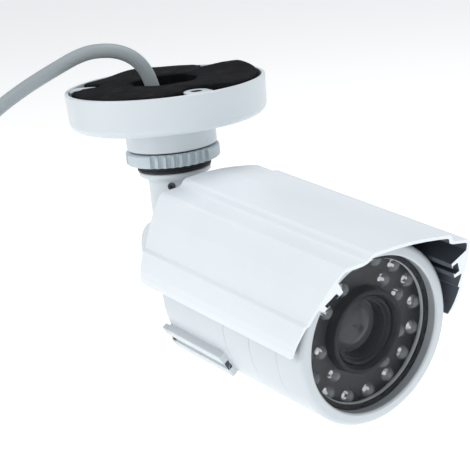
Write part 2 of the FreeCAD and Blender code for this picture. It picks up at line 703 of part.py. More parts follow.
cap_screws = group_of("cap_screws", seed_screw, [radial(a, 35.4) for a in CAP_SCREWS])
hole_tools = []
for i, a in enumerate(CAP_SCREWS):
    d = V(0, math.cos(math.radians(a)), math.sin(math.radians(a)))
    t1 = cyl("cap_hole_%d" % i, 1.25, 9.0, tuple(V(35.4, 0, 0) + d * 26.0), tuple(d), BARREL)
    t2 = cyl("cap_sink_%d" % i, 2.3, 4.0, tuple(V(35.4, 0, 0) + d * 30.3), tuple(d), BARREL)
    hole_tools += [t1, t2]
holes_fused = fuse("cap_hole_tools", hole_tools)
EXPORT.remove(rear)
rear.Label = "rear_housing_turned"
cut("rear_housing_cut", rear, holes_fused, "rear_housing")
EXPORT.remove(cap)
cap.Label = "rear_cap_turned"
cut("rear_cap_cut", cap, holes_fused, "rear_cap")

# ---------------------------------------------------------------------------
# 12. Window, lamps and lens
# ---------------------------------------------------------------------------
revolve_x("front_glass", [
    (D("glass_back"), 0.0), (D("glass_face"), 0.0), (D("glass_face"), D("window_radius") - 0.35),
    (D("glass_face") - 0.3, D("window_radius") - 0.05), (D("glass_back"), D("window_radius") - 0.05)], BARREL)
revolve_x("glass_gasket", [
    (D("glass_back") - 0.85, D("seat_inner") + 0.3), (D("glass_back") - 0.05, D("seat_inner") + 0.3),
    (D("glass_back") - 0.05, D("window_radius") - 0.1), (D("glass_back") - 0.85, D("window_radius") - 0.1)], BARREL)
OUTER_N, INNER_ANG = 16, [60.0, 120.0, 30.0, 150.0, -15.0, -165.0, -52.0, -128.0]
OUTER_ANG = [11.25 + 22.5 * k for k in range(OUTER_N)]
led_board = new_body("lamp_board", BARREL)
pad(led_board, "YZ_Plane", "plate",
    lambda sk: (circle(sk, 0, 0, D("window_radius") - 0.2), circle(sk, 0, 0, 15.8)),
    D("board_front") - D("board_thick"), D("board_thick"))
EXPORT.append(led_board)
led_seed = revolve_z("lamp_seed", [
    (0.0, 0.0), (D("lamp_flange"), 0.0), (D("lamp_flange"), 1.0), (D("lamp_radius"), 1.0),
    (D("lamp_radius"), 6.0), (D("lamp_radius") * 0.94, 6.85), (D("lamp_radius") * 0.75, 7.6),
    (D("lamp_radius") * 0.4, 8.15), (0.0, D("lamp_tip") - D("board_front"))], None, export=False)
doc.recompute()
spots = [(ALIAS["lamp_outer_circle"], a) for a in OUTER_ANG] + [(ALIAS["lamp_inner_circle"], a) for a in INNER_ANG]


def on_face(x, rho, deg):
    a = math.radians(deg)
    return BARREL.multiply(FreeCAD.Placement(V(x, rho * math.cos(a), rho * math.sin(a)), FreeCAD.Rotation(Z, X)))


group_of("infrared_lamps", led_seed, [on_face(ALIAS["board_front"], r, a) for r, a in spots])
mask = new_body("lamp_holder", BARREL)


def mask_outline(sk):
    circle(sk, 0, 0, D("window_radius") - 0.1)
    circle(sk, 0, 0, 15.6)
    for k, (r, a) in enumerate(spots):
        rr = D("lamp_outer_circle") if k < OUTER_N else D("lamp_inner_circle")
        c, s = math.cos(math.radians(a)), math.sin(math.radians(a))
        circle(sk, rr * c, rr * s, D("lamp_radius") + 0.12)


pad(mask, "YZ_Plane", "plate", mask_outline, D("mask_back"), D("mask_front") - D("mask_back"))
EXPORT.append(mask)
cell = cyl("light_sensor_body", 2.3, 1.8, (ALIAS["board_front"] + 0.02, 0, -19.6), (1, 0, 0), BARREL)
export(cell, "light_sensor")
revolve_x("lens_shroud", [
    (98.2, D("shroud_inner")), (98.2, D("shroud_outer")), (D("glass_back") - 0.1, D("shroud_outer")),
    (D("glass_back") - 0.1, D("shroud_inner") + 0.5), (D("glass_back") - 0.8, D("shroud_inner"))], BARREL)
revolve_x("lens_barrel", [
    (80.0, 6.0), (80.0, 10.0), (82.4, 10.0), (82.4, D("lens_body")), (96.4, D("lens_body")),
    (96.4, D("lens_radius")), (D("lens_front") - 0.5, D("lens_radius")), (D("lens_front"), D("lens_radius") - 0.5),
    (D("lens_front"), 11.2), (103.6, 9.75), (99.0, 9.75), (99.0, 6.0)], BARREL)
revolve_x("lens_front_element", [
    (99.3, 0.0), (104.4, 0.0), (104.2, 3.0), (103.6, 5.6), (102.6, 7.8), (101.4, 9.6), (99.3, 9.6)], BARREL)
revolve_x("lens_rear_element", [
    (84.0, 0.0), (87.6, 0.0), (87.3, 3.0), (86.4, 5.7), (84.0, 5.9)], BARREL)
for tag, x0 in (("zoom", 83.6), ("focus", 90.2)):
    body = revolve_x(tag + "_ring", [
        (x0, D("lens_body") + 0.3), (x0, D("control_radius") - 0.3), (x0 + 0.3, D("control_radius")),
        (x0 + 4.7, D("control_radius")), (x0 + 5.0, D("control_radius") - 0.3),
        (x0 + 5.0, D("lens_body") + 0.3)], BARREL)
    knob_ang = 90.0 if tag == "zoom" else 50.0
    pad(body, "YZ_Plane", "grip",
        lambda sk, a=knob_ang: polygon(sk, [at_angle(13.0, -1.1, a), at_angle(17.2, -1.1, a),
                                           at_angle(17.6, 0.0, a), at_angle(17.2, 1.1, a), at_angle(13.0, 1.1, a)]),
        x0 + 1.4, 2.2)
revolve_x("lens_mount", [
    (74.1, 10.4), (74.1, 17.0), (77.0, 17.0), (77.0, 14.0), (82.2, 14.0), (82.2, 10.15), (79.0, 10.15),
    (79.0, 10.4)], BARREL)
revolve_x("lens_filter", [(77.6, 0.0), (78.7, 0.0), (78.7, 9.9), (77.6, 9.9)], BARREL)


def board(name, x0, side=19.0, hole_at=16.0):
    b = new_body(name, BARREL)

    def outline(sk):
        polygon(sk, [(-side, -side + 3), (-side + 3, -side), (side - 3, -side), (side, -side + 3),
                     (side, side - 3), (side - 3, side), (-side + 3, side), (-side, side - 3)])
        for sy in (-1, 1):
            for sz in (-1, 1):
                circle(sk, sy * hole_at, sz * hole_at, 1.35)
    pad(b, "YZ_Plane", "plate", outline, x0, D("board_thick"))
    EXPORT.append(b)
    return b


board("sensor_board", 72.4)
board("processor_board", 62.4)
board("power_board", 52.4)


def parts_box(name, boxes):
    solids = [box("%s_%d" % (name, i), s, c, BARREL) for i, (s, c) in enumerate(boxes)]
    if len(solids) == 1:
        return export(solids[0], name)
    comp = doc.addObject("Part::Compound", name + "_set")
    comp.Links = solids
    return export(comp, name)


parts_box("image_sensor", [((1.9, 8.6, 7.4), (74.05, -4.3, -3.7))])
parts_box("processor_chips", [((1.2, 12.0, 12.0), (64.05, -6.0, -6.0)), ((1.0, 6.0, 8.0), (64.05, 8.0, -10.0)),
                              ((1.0, 5.0, 5.0), (64.05, -14.0, 3.0))])
parts_box("power_parts", [((4.5, 8.0, 8.0), (54.05, -12.0, -4.0)), ((5.5, 6.5, 6.5), (54.05, 2.0, 4.0)),
                          ((5.0, 5.5, 5.5), (54.05, 6.0, -9.0)), ((3.0, 9.0, 4.0), (54.05, -6.0, -14.0))])
standoff = doc.addObject("Part::Prism", "standoff_seed")
standoff.Polygon = 6
standoff.Circumradius = 2.4
standoff.Height = 8.3
doc.recompute()
corners = [(sy * 16.0, sz * 16.0) for sy in (-1, 1) for sz in (-1, 1)]
group_of("board_standoffs", standoff, [
    BARREL.multiply(FreeCAD.Placement(V(x0, cy, cz), FreeCAD.Rotation(Z, X)))
    for x0 in (54.05, 64.05) for cy, cz in corners])
screw = revolve_z("board_screw_seed", [(0.0, -1.7), (2.2, -1.7), (2.2, -0.05), (1.2, -0.05), (1.2, 1.55), (0.0, 1.55)],
                  None, export=False)
doc.recompute()
group_of("board_screws", screw, [
    BARREL.multiply(FreeCAD.Placement(V(52.4, cy, cz), FreeCAD.Rotation(Z, X))) for cy, cz in corners])
chassis = new_body("chassis_ring", BARREL)


def chassis_outline(sk):
    circle(sk, 0, 0, D("barrel_inner") - 0.1)
    circle(sk, 0, 0, 14.15)
    circle(sk, 24.6 * math.cos(math.radians(200)), 24.6 * math.sin(math.radians(200)), 1.9)


pad(chassis, "YZ_Plane", "plate", chassis_outline, 77.05, 1.2)
EXPORT.append(chassis)
har = cyl("harness_run", 1.2, 96.3 - 54.6, (54.6, 24.6 * math.cos(math.radians(200)), 24.6 * math.sin(math.radians(200))), (1, 0, 0), BARREL)
export(har, "lamp_harness")
parts_box("board_plug", [((5.6, 9.0, 6.0), (46.6, -4.5, -3.0))])
export(cyl("inner_lead_run", D("cable_radius"), 46.5 - 14.0, (14.0, 0, 0), (1, 0, 0), BARREL), "inner_lead")

# ---------------------------------------------------------------------------
# 13. Sunshield: an extruded aluminium hood with raked front and two T channels
# ---------------------------------------------------------------------------
shield = new_body("sunshield", BARREL)
OUT = [(36.2, -0.6), (36.7, 2.0), (36.7, 5.0), (36.3, 8.5), (35.7, 12.2), (34.5, 13.0), (33.9, 16.0),
       (32.9, 20.0), (31.5, 24.6), (29.9, 28.6), (29.0, 30.8), (28.2, 32.2), (27.0, 33.0), (25.4, 33.2),
       (20.2, 33.8), (18.9, 34.4), (17.9, 35.9), (16.7, 36.7), (12.0, 37.3), (6.0, 37.8)]


def offset_in(points, dist):
    """Corner normals of the open right-hand outline, mirrored at the crown."""
    full = points + [(0.0, 38.0)] + [(-a, b) for a, b in reversed(points)]
    res = []
    for i, p in enumerate(full):
        a = full[i - 1] if i > 0 else (p[0], p[1] - 1.0)
        b = full[i + 1] if i < len(full) - 1 else (p[0], p[1] - 1.0)
        d1 = (p[0] - a[0], p[1] - a[1])
        d2 = (b[0] - p[0], b[1] - p[1])
        l1, l2 = math.hypot(*d1), math.hypot(*d2)
        n1 = (-d1[1] / l1, d1[0] / l1)
        n2 = (-d2[1] / l2, d2[0] / l2)
        m = (n1[0] + n2[0], n1[1] + n2[1])
        k = 1.0 + n1[0] * n2[0] + n1[1] * n2[1]
        res.append((m[0] / k, m[1] / k))
    return full, res


full, normals = offset_in(OUT, 1.0)
wall = D("shield_wall")


def shield_outline(sk):
    pts = [(q(a), q(b)) for a, b in full]
    inner = [(q(a) + wall * nx, q(b) + wall * ny) for (a, b), (nx, ny) in zip(full, normals)]
    # keep the two lips flat and square to the wall
    inner[0] = (q(full[0][0]) - wall, q(full[0][1]))
    inner[-1] = (q(full[-1][0]) + wall, q(full[-1][1]))
    polygon(sk, pts + list(reversed(inner)))


pad(shield, "YZ_Plane", "shell", shield_outline, D("shield_rear"), 108.0)
for tag, sgn in (("left", -1), ("right", 1)):
    def channel(sk, sgn=sgn):
        ang = 37.0
        pts = [at_angle(37.6, -5.2, ang), at_angle(33.25, -4.3, ang), at_angle(33.25, -1.45, ang),
               at_angle(33.62, -1.45, ang), at_angle(33.62, -2.5, ang), at_angle(35.6, -2.5, ang),
               at_angle(35.6, 2.5, ang), at_angle(33.62, 2.5, ang), at_angle(33.62, 1.45, ang),
               at_angle(33.25, 1.45, ang), at_angle(33.25, 4.3, ang), at_angle(38.3, 5.4, ang)]
        polygon(sk, [(a * sgn, b) for a, b in pts])
    pad(shield, "YZ_Plane", "channel_" + tag, channel, D("shield_rear"), 108.0)


def rake(sk):
    k, f0 = D("shield_rake"), D("shield_front")
    polygon(sk, [(f0 - k * 10.0, -10.0), (f0 + 60.0, -10.0), (f0 + 60.0, 50.0), (f0 + k * 50.0, 50.0)])


pad(shield, "XZ_Plane", "raked_front", rake, -60.0, 120.0, cut=True)
lock_dir = V(0, math.cos(math.radians(37)), math.sin(math.radians(37)))
shield_hole = cyl("shield_screw_hole", 1.55, 12.0, tuple(V(60.0, 0, 0) + lock_dir * 32.0), tuple(lock_dir), BARREL)
shield.Label = "sunshield_extrusion"
cut("sunshield_cut", shield, shield_hole, "sunshield")
lock_body = cyl("shield_screw_body", 1.5, 3.4, tuple(V(60.0, 0, 0) + lock_dir * 35.3), tuple(lock_dir), BARREL)
lock_hex = doc.addObject("Part::Prism", "shield_screw_hex")
lock_hex.Polygon = 6
lock_hex.Circumradius = 0.9
lock_hex.Height = 3.0
lock_hex.Placement = BARREL.multiply(FreeCAD.Placement(V(60.0, 0, 0) + lock_dir * 37.0, FreeCAD.Rotation(Z, lock_dir)))
cut("shield_screw_cut", lock_body, lock_hex, "shield_screw")

# ---------------------------------------------------------------------------
# 14. Cable: inner run in the bracket, free tube, coil, splitter and two leads
# ---------------------------------------------------------------------------
FL = -ALIAS["floor_level"]
MX, MY = -LY, LX                    # horizontal, square to the lean
MX, MY = -0.80137808, 0.59815816


def sm(s, m, z):
    """Point from distances along the lean, across it, and height."""
    return V(LX * s + MX * m, LY * s + MY * m, z)


export(cyl("bracket_cable_run", D("cable_radius"), 51.0 - 9.0, tuple(sm(CAB_OFF, 0, -51.0)), (0, 0, 1)), "bracket_cable")


def tube(name, points, radius, first=None, last=None):
    """Straight runs joined by tangent arcs, swept with a round section."""
    n = len(points)
    edges, radii = [], []
    cur = points[0]
    total = 0.0
    for i in range(1, n - 1):
        a, b, c = points[i - 1], points[i], points[i + 1]
        d1, d2 = (b - a), (c - b)
        l1, l2 = d1.Length, d2.Length
        u1, u2 = d1.normalize(), d2.normalize()
        turn = u1.getAngle(u2)
        if turn < 1e-3:
            raise RuntimeError("points in line in " + name)
        run = min(l1, l2)
        r = 0.45 * run / math.tan(turn / 2)
        tl = 0.45 * run
        p1, p2 = b - u1 * tl, b + u2 * tl
        axis = u1.cross(u2).normalize()
        centre = p1 + axis.cross(u1) * r
        mid = centre + (b - centre).normalize() * r
        if (p1 - cur).Length > 1e-6:
            edges.append(Part.LineSegment(cur, p1).toShape())
        edges.append(Part.Arc(p1, mid, p2).toShape())
        radii.append(r)
        cur = p2
    edges.append(Part.LineSegment(cur, points[-1]).toShape())
    wire = Part.Wire(edges)
    d0 = (points[1] - points[0]).normalize()
    profile = Part.Wire([Part.Circle(points[0], d0, radius).toShape()])
    solid = wire.makePipeShell([profile], True, True, 2)
    if solid.Volume < 0:
        solid.reverse()
    o = doc.addObject("Part::Feature", name)
    o.Shape = solid
    o.Placement = FreeCAD.Placement()
    export(o, name)
    want = math.pi * radius ** 2 * wire.Length
    print("%s length %.1f volume %.1f of %.1f radii %s" % (
        name, wire.Length, solid.Volume, want, " ".join("%.1f" % x for x in radii)))
    if abs(solid.Volume - want) > 0.03 * want:
        raise RuntimeError("tube volume is off: " + name)
    return o


R_C = ALIAS["coil_radius"]
CR = ALIAS["cable_radius"]
ROUTE = [
    sm(3.6, 0, -9.0), sm(4.6, 0.1, -2.6), sm(6.2, 0.2, 3.9), sm(9.4, 0.2, 9.2), sm(14.6, 0.1, 12.8),
    sm(21.2, 0, 14.4), sm(30.0, 0, 14.0), sm(42.0, -0.2, 8.7), sm(54.0, -0.6, 2.9), sm(66.0, -0.8, -4.2),
    sm(76.8, -0.6, -13.4),
    sm(85.2, -0.1, -26.4), sm(90.0, 0.2, -46.5), sm(91.3, 0.4, -80.0), sm(90.8, 0.2, -125.0),
    sm(91.4, 0.9, FL + 54.0), sm(91.2, 0.9, FL + 28.0), sm(91.1, -1.2, FL + 12.0), sm(90.9, -7.0, FL + 4.4),
    sm(91.1, -14.0, FL + CR)]
tube("cable_tube", ROUTE, CR)
# the rest of the cable lies in two turns on the floor, the last third on top
COIL_S, COIL_M = 58.5, -28.0
R_OUT, R_IN = R_C + 3.5, R_C - 2.0
coil = new_body("cable_coil", FreeCAD.Placement(sm(COIL_S, COIL_M, FL), FreeCAD.Rotation(V(LX, LY, 0), V(-LY, LX, 0), Z, "ZXY")))
# in this frame X is the lean; turns run towards +Y
pad(coil, "XY_Plane", "turns",
    lambda sk: (circle(sk, 0, 0, D("coil_radius") + 3.5 + D("cable_radius")),
                circle(sk, 0, 0, D("coil_radius") - 2.0 - D("cable_radius"))),
    0.0, D("cable_radius") * 2)


def climb(sk):
    pts = []
    r0, r1 = D("coil_radius") - 2.0, D("coil_radius") + 3.5
    for k in range(16):
        a = math.radians(-72.0 + 128.0 * k / 15.0)
        pts.append((r1 * math.cos(a), r1 * math.sin(a)))
    for k in reversed(range(16)):
        a = math.radians(-72.0 + 128.0 * k / 15.0)
        pts.append((r0 * math.cos(a), r0 * math.sin(a)))
    polygon(sk, pts)


pad(coil, "XY_Plane", "climb", climb, D("cable_radius"), D("cable_radius") * 3)
EXPORT.append(coil)
TOP = FL + 2 * CR


def on_coil(deg, radius, z):
    """A point on the coil; angles grow in the direction in which the cable runs."""
    a = math.radians(-deg)
    return sm(COIL_S + radius * math.cos(a), COIL_M + radius * math.sin(a), z)


def tangent_pl(deg, radius, z):
    """Frame on the coil: X along the turn, Z up."""
    p = on_coil(deg, radius, z)
    t = (on_coil(deg + 0.5, radius, z) - on_coil(deg - 0.5, radius, z)).normalize()
    return FreeCAD.Placement(p, FreeCAD.Rotation(t, Z.cross(t), Z, "ZXY"))


# tie round the coil
TIE = tangent_pl(133.0, R_C + 0.75, FL)
tie_o = box("tie_outer", (4.0, 14.2, 11.4), (-2.0, -7.1, 0.0), TIE)
tie_i = box("tie_inner", (6.0, 12.4, 10.1), (-3.0, -6.2, 0.6), TIE)
cut("tie_cut", tie_o, tie_i, "cable_tie")
# splitter on the coil's top, then two leads that follow the turn
SPL = tangent_pl(78.0, R_C + 0.2, TOP + 0.1)
split = new_body("cable_splitter", SPL)
pad(split, "XY_Plane", "block",
    lambda sk: polygon(sk, [(-11.0, -3.6), (-4.0, -6.0), (9.0, -6.0), (11.0, -5.2), (11.0, 5.2), (9.0, 6.0), (-4.0, 6.0), (-11.0, 3.6)]),
    0.0, 7.4)
EXPORT.append(split)
VR, PR = ALIAS["video_radius"], ALIAS["power_radius"]


def local(pl, x, y, z):
    return pl.multVec(V(x, y, z))


BNC = tangent_pl(257.0, R_C - 0.5, TOP + 0.1)
bnc_z = 6.1
JACK = tangent_pl(191.0, 21.3, TOP + 0.1)
jack_z = 4.7
video_pts = [local(SPL, 11.05, -3.0, 3.4), local(SPL, 17.0, -2.3, 2.9), on_coil(117.5, 34.6, TOP + VR + 0.2),
             on_coil(131.0, 33.2, TOP + VR + 0.1), on_coil(147.0, 33.1, TOP + VR + 0.1), on_coil(164.0, 33.3, TOP + VR + 0.1),
             on_coil(182.0, 33.7, TOP + VR + 0.3), on_coil(197.0, 34.0, TOP + VR + 1.2),
             on_coil(209.0, 34.1, TOP + VR + 2.5), on_coil(219.5, 33.5, TOP + VR + 3.7), local(BNC, -15.05, 0, bnc_z)]
tube("video_lead", video_pts, VR)
power_pts = [local(SPL, 11.05, 3.0, 3.4), local(SPL, 16.4, 3.2, 2.7), on_coil(122.5, 29.6, TOP + PR + 0.3),
             on_coil(134.5, 29.0, TOP + PR + 0.8), on_coil(146.0, 27.6, TOP + PR + 2.0), local(JACK, -14.05, 0, jack_z)]
tube("power_lead", power_pts, PR)


def turned(name, pl, points):
    """A small connector turned about its own X."""
    revolve_x(name, points, pl)


turned("video_connector", BNC.multiply(FreeCAD.Placement(V(0, 0, bnc_z), FreeCAD.Rotation())), [
    (-15.0, 0.0), (-15.0, 2.6), (-6.0, 4.6), (-5.0, 5.9), (-1.0, 5.9), (-1.0, 4.9), (15.0, 4.9), (15.0, 3.9),
    (2.0, 3.9), (2.0, 0.0)])
turned("power_connector", JACK.multiply(FreeCAD.Placement(V(0, 0, jack_z), FreeCAD.Rotation())), [
    (-14.0, 0.0), (-14.0, 2.2), (-8.0, 3.4), (-6.0, 4.5), (14.0, 4.5), (14.0, 2.8), (3.0, 2.8), (3.0, 0.0)])

# ---------------------------------------------------------------------------
# Check every object, then write one file per node
# ---------------------------------------------------------------------------
doc.recompute()
bad = []
for o in doc.Objects:
    state = [x for x in o.State if x in ("Invalid", "Error")]
    if state:
        bad.append("%s %s" % (o.Name, o.State))
for o in EXPORT:
    if not hasattr(o, "Shape") or o.Shape.isNull():
        bad.append(o.Label + " has no shape")
    elif not o.Shape.isValid():
        bad.append(o.Label + " is not valid")
    elif not o.Shape.Solids:
        bad.append(o.Label + " has no solid")
    elif min(x.Volume for x in o.Shape.Solids) <= 0:
        bad.append(o.Label + " has a solid with no volume")
if bad:
    raise RuntimeError("; ".join(bad))
os.makedirs("parts", exist_ok=True)
names = set()
for o in EXPORT:
    if o.Label in names:
        raise RuntimeError("label used twice: " + o.Label)
    names.add(o.Label)
    o.Shape.exportStep("parts/%s.step" % o.Label)
    b = o.Shape.BoundBox
    print("%-22s %2d solid(s) %9.1f mm3  x %7.2f %7.2f  y %7.2f %7.2f  z %7.2f %7.2f" % (
        o.Label, len(o.Shape.Solids), o.Shape.Volume, b.XMin, b.XMax, b.YMin, b.YMax, b.ZMin, b.ZMax))
print(len(EXPORT), "nodes")
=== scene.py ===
import bpy, bmesh, json, math
from mathutils import Vector, Matrix


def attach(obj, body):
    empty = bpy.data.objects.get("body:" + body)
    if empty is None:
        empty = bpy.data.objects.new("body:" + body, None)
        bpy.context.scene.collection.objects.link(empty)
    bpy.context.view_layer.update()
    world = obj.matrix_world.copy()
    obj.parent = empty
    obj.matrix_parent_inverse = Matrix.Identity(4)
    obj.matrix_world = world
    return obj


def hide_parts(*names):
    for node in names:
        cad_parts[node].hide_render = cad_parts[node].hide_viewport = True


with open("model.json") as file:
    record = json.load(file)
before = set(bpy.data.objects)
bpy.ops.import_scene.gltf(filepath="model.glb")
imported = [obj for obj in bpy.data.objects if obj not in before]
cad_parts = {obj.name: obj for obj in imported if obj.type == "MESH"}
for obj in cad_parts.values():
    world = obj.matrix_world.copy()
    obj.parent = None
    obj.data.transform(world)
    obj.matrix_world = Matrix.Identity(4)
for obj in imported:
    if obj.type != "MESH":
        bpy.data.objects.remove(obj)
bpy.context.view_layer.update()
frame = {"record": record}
MM = 0.001

# ---------------------------------------------------------------------------
# Camera
# ---------------------------------------------------------------------------
cam_data = bpy.data.cameras.new("camera")
cam_data.sensor_width = 36.0
cam_data.lens = 113.26
cam = bpy.data.objects.new("camera", cam_data)
bpy.context.scene.collection.objects.link(cam)
right, up = Vector((0.59497, 0.79710, -0.10314)), Vector((-0.14735, 0.23432, 0.96093))
right.normalize()
back = right.cross(up).normalized()
up = back.cross(right).normalized()
m = Matrix((right, up, back)).transposed().to_4x4()
m.translation = Vector((0.47103, -0.30680, 0.08609))
cam.matrix_world = m
cam_data.clip_start = 0.01
bpy.context.scene.camera = cam

# ---------------------------------------------------------------------------
# Frames: the barrel's own, with X along it from the tilt pivot
# ---------------------------------------------------------------------------
PIVOT = Vector((0, 0, -65.9))
TILT = Matrix.Translation(PIVOT) @ Matrix.Rotation(math.radians(6.8), 4, "Y")
BARREL = TILT @ Matrix.Rotation(math.radians(-3.73), 4, "X")
WORLD = Matrix.Identity(4)
FL = -215.0
CR, VR, PR = 2.75, 2.0, 1.75
L = Vector((-0.59815816, -0.80137808, 0))
M = Vector((-0.80137808, 0.59815816, 0))


def sm(s, mm, z):
    return L * s + M * mm + Vector((0, 0, z))


# ---------------------------------------------------------------------------
# Materials
# ---------------------------------------------------------------------------
def nodes_of(mat):
    mat.use_nodes = True
    nt = mat.node_tree
    nt.nodes.clear()
    out = nt.nodes.new("ShaderNodeOutputMaterial")
    b = nt.nodes.new("ShaderNodeBsdfPrincipled")
    nt.links.new(b.outputs[0], out.inputs[0])
    return nt, b


def coords(nt, scale=1.0):
    t = nt.nodes.new("ShaderNodeTexCoord")
    mp = nt.nodes.new("ShaderNodeMapping")
    mp.inputs["Scale"].default_value = (scale, scale, scale) if not isinstance(scale, tuple) else scale
    nt.links.new(t.outputs["Object"], mp.inputs[0])
    return mp.outputs[0]


def noise(nt, vec, scale, detail=3.0, rough=0.5):
    n = nt.nodes.new("ShaderNodeTexNoise")
    n.inputs["Scale"].default_value = scale
    n.inputs["Detail"].default_value = detail
    n.inputs["Roughness"].default_value = rough
    nt.links.new(vec, n.inputs["Vector"])
    return n.outputs["Fac"]


def ramp(nt, fac, stops):
    r = nt.nodes.new("ShaderNodeValToRGB")
    el = r.color_ramp.elements
    while len(el) > len(stops):
        el.remove(el[-1])
    while len(el) < len(stops):
        el.new(0.5)
    for e, (p, c) in zip(el, stops):
        e.position = p
        e.color = (*c, 1.0)
    nt.links.new(fac, r.inputs[0])
    return r.outputs[0]


def value_ramp(nt, fac, lo, hi, a=0.35, b=0.65):
    mr = nt.nodes.new("ShaderNodeMapRange")
    mr.inputs["From Min"].default_value = a
    mr.inputs["From Max"].default_value = b
    mr.inputs["To Min"].default_value = lo
    mr.inputs["To Max"].default_value = hi
    nt.links.new(fac, mr.inputs["Value"])
    return mr.outputs[0]


def bump(nt, b, height, strength, distance):
    n = nt.nodes.new("ShaderNodeBump")
    n.inputs["Strength"].default_value = strength
    n.inputs["Distance"].default_value = distance
    nt.links.new(height, n.inputs["Height"])
    nt.links.new(n.outputs[0], b.inputs["Normal"])
    return n


def painted(name, col, rough=(0.30, 0.42), grain=1600.0, depth=0.00002, coat=0.15, specks=False):
    """Powder coat: fine orange peel, slight colour drift, a few casting specks."""
    mat = bpy.data.materials.new(name)
    nt, b = nodes_of(mat)
    v = coords(nt)
    drift = noise(nt, v, 35.0, 1.0)
    c1 = tuple(x * 0.955 for x in col)
    colour = ramp(nt, drift, [(0.0, c1), (1.0, tuple(x * 1.015 for x in col))])
    if specks:
        vor = nt.nodes.new("ShaderNodeTexVoronoi")
        vor.inputs["Scale"].default_value = 130.0
        nt.links.new(v, vor.inputs["Vector"])
        sp = ramp(nt, vor.outputs["Distance"], [(0.0, (0.62, 0.62, 0.62)), (0.028, (0.72, 0.72, 0.72)), (0.045, (1, 1, 1))])
        mx = nt.nodes.new("ShaderNodeMix")
        mx.data_type = "RGBA"
        mx.blend_type = "MULTIPLY"
        mx.inputs[0].default_value = 1.0
        nt.links.new(colour, mx.inputs[6])
        nt.links.new(sp, mx.inputs[7])
        colour = mx.outputs[2]
    nt.links.new(colour, b.inputs["Base Color"])
    nt.links.new(value_ramp(nt, noise(nt, v, 60.0, 1.0), *rough, 0.0, 1.0), b.inputs["Roughness"])
    peel = noise(nt, v, grain, 2.0)
    wave = noise(nt, v, grain * 0.22, 2.0)
    add = nt.nodes.new("ShaderNodeMath")
    add.operation = "MULTIPLY_ADD"
    add.inputs[1].default_value = 1.4
    nt.links.new(wave, add.inputs[0])
    nt.links.new(peel, add.inputs[2])
    if depth > 0:
        bump(nt, b, add.outputs[0], 0.35, depth)
    b.inputs["Coat Weight"].default_value = coat
    b.inputs["Coat Roughness"].default_value = 0.25
    b.inputs["IOR"].default_value = 1.48
    return mat


def moulded(name, col, rough=(0.4, 0.55), grain=900.0, depth=0.00004, spec=0.5, var=0.9):
    mat = bpy.data.materials.new(name)
    nt, b = nodes_of(mat)
    v = coords(nt)
    colour = ramp(nt, noise(nt, v, 60.0, 4.0), [(0.3, tuple(x * var for x in col)), (0.7, col)])
    nt.links.new(colour, b.inputs["Base Color"])
    nt.links.new(value_ramp(nt, noise(nt, v, 180.0, 3.0), *rough), b.inputs["Roughness"])
    bump(nt, b, noise(nt, v, grain, 3.0), 0.4, depth)
    b.inputs["Specular IOR Level"].default_value = spec
    return mat


def foam_material():
    mat = bpy.data.materials.new("foam")
    nt, b = nodes_of(mat)
    v = coords(nt)
    vor = nt.nodes.new("ShaderNodeTexVoronoi")
    vor.inputs["Scale"].default_value = 1500.0
    nt.links.new(v, vor.inputs["Vector"])
    big = noise(nt, v, 160.0, 4.0)
    colour = ramp(nt, big, [(0.3, (0.005, 0.005, 0.006)), (0.62, (0.012, 0.012, 0.014)), (0.8, (0.030, 0.030, 0.034))])
    nt.links.new(colour, b.inputs["Base Color"])
    b.inputs["Roughness"].default_value = 0.93
    b.inputs["Specular IOR Level"].default_value = 0.10
    mx = nt.nodes.new("ShaderNodeMath")
    mx.operation = "MULTIPLY_ADD"
    mx.inputs[1].default_value = 0.8
    nt.links.new(vor.outputs["Distance"], mx.inputs[0])
    nt.links.new(big, mx.inputs[2])
    bump(nt, b, mx.outputs[0], 0.8, 0.0004)
    return mat


def metal(name, col, rough=(0.22, 0.38), brushed=(1, 1, 1), spec=1.0):
    mat = bpy.data.materials.new(name)
    nt, b = nodes_of(mat)
    v = coords(nt, brushed)
    colour = ramp(nt, noise(nt, v, 300.0, 4.0), [(0.3, tuple(x * 0.85 for x in col)), (0.7, col)])
    nt.links.new(colour, b.inputs["Base Color"])
    b.inputs["Metallic"].default_value = 1.0
    nt.links.new(value_ramp(nt, noise(nt, v, 700.0, 3.0), *rough), b.inputs["Roughness"])
    bump(nt, b, noise(nt, v, 1200.0, 3.0), 0.3, 0.00002)
    return mat


def clear(name, col, alpha, rough=0.03, ior=1.5, coat=0.0):
    mat = bpy.data.materials.new(name)
    nt, b = nodes_of(mat)
    v = coords(nt)
    nt.links.new(ramp(nt, noise(nt, v, 120.0, 3.0), [(0.3, tuple(x * 0.94 for x in col)), (0.7, col)]), b.inputs["Base Color"])
    nt.links.new(value_ramp(nt, noise(nt, v, 240.0, 2.0), rough, rough * 1.6 + 0.005), b.inputs["Roughness"])
    b.inputs["Alpha"].default_value = alpha
    b.inputs["IOR"].default_value = ior
    b.inputs["Coat Weight"].default_value = coat
    b.inputs["Coat Roughness"].default_value = 0.03
    return mat


def board_material(name, col):
    mat = bpy.data.materials.new(name)
    nt, b = nodes_of(mat)
    v = coords(nt)
    br = nt.nodes.new("ShaderNodeTexBrick")
    br.inputs["Scale"].default_value = 260.0
    br.inputs["Color1"].default_value = (*col, 1)
    br.inputs["Color2"].default_value = (*[x * 0.8 for x in col], 1)
    br.inputs["Mortar"].default_value = (*[min(1, x * 1.9 + 0.02) for x in col], 1)
    br.inputs["Mortar Size"].default_value = 0.03
    nt.links.new(v, br.inputs["Vector"])
    nt.links.new(br.outputs["Color"], b.inputs["Base Color"])
    nt.links.new(value_ramp(nt, noise(nt, v, 300.0), 0.25, 0.4), b.inputs["Roughness"])
    bump(nt, b, br.outputs["Fac"], 0.3, 0.00003)
    return mat


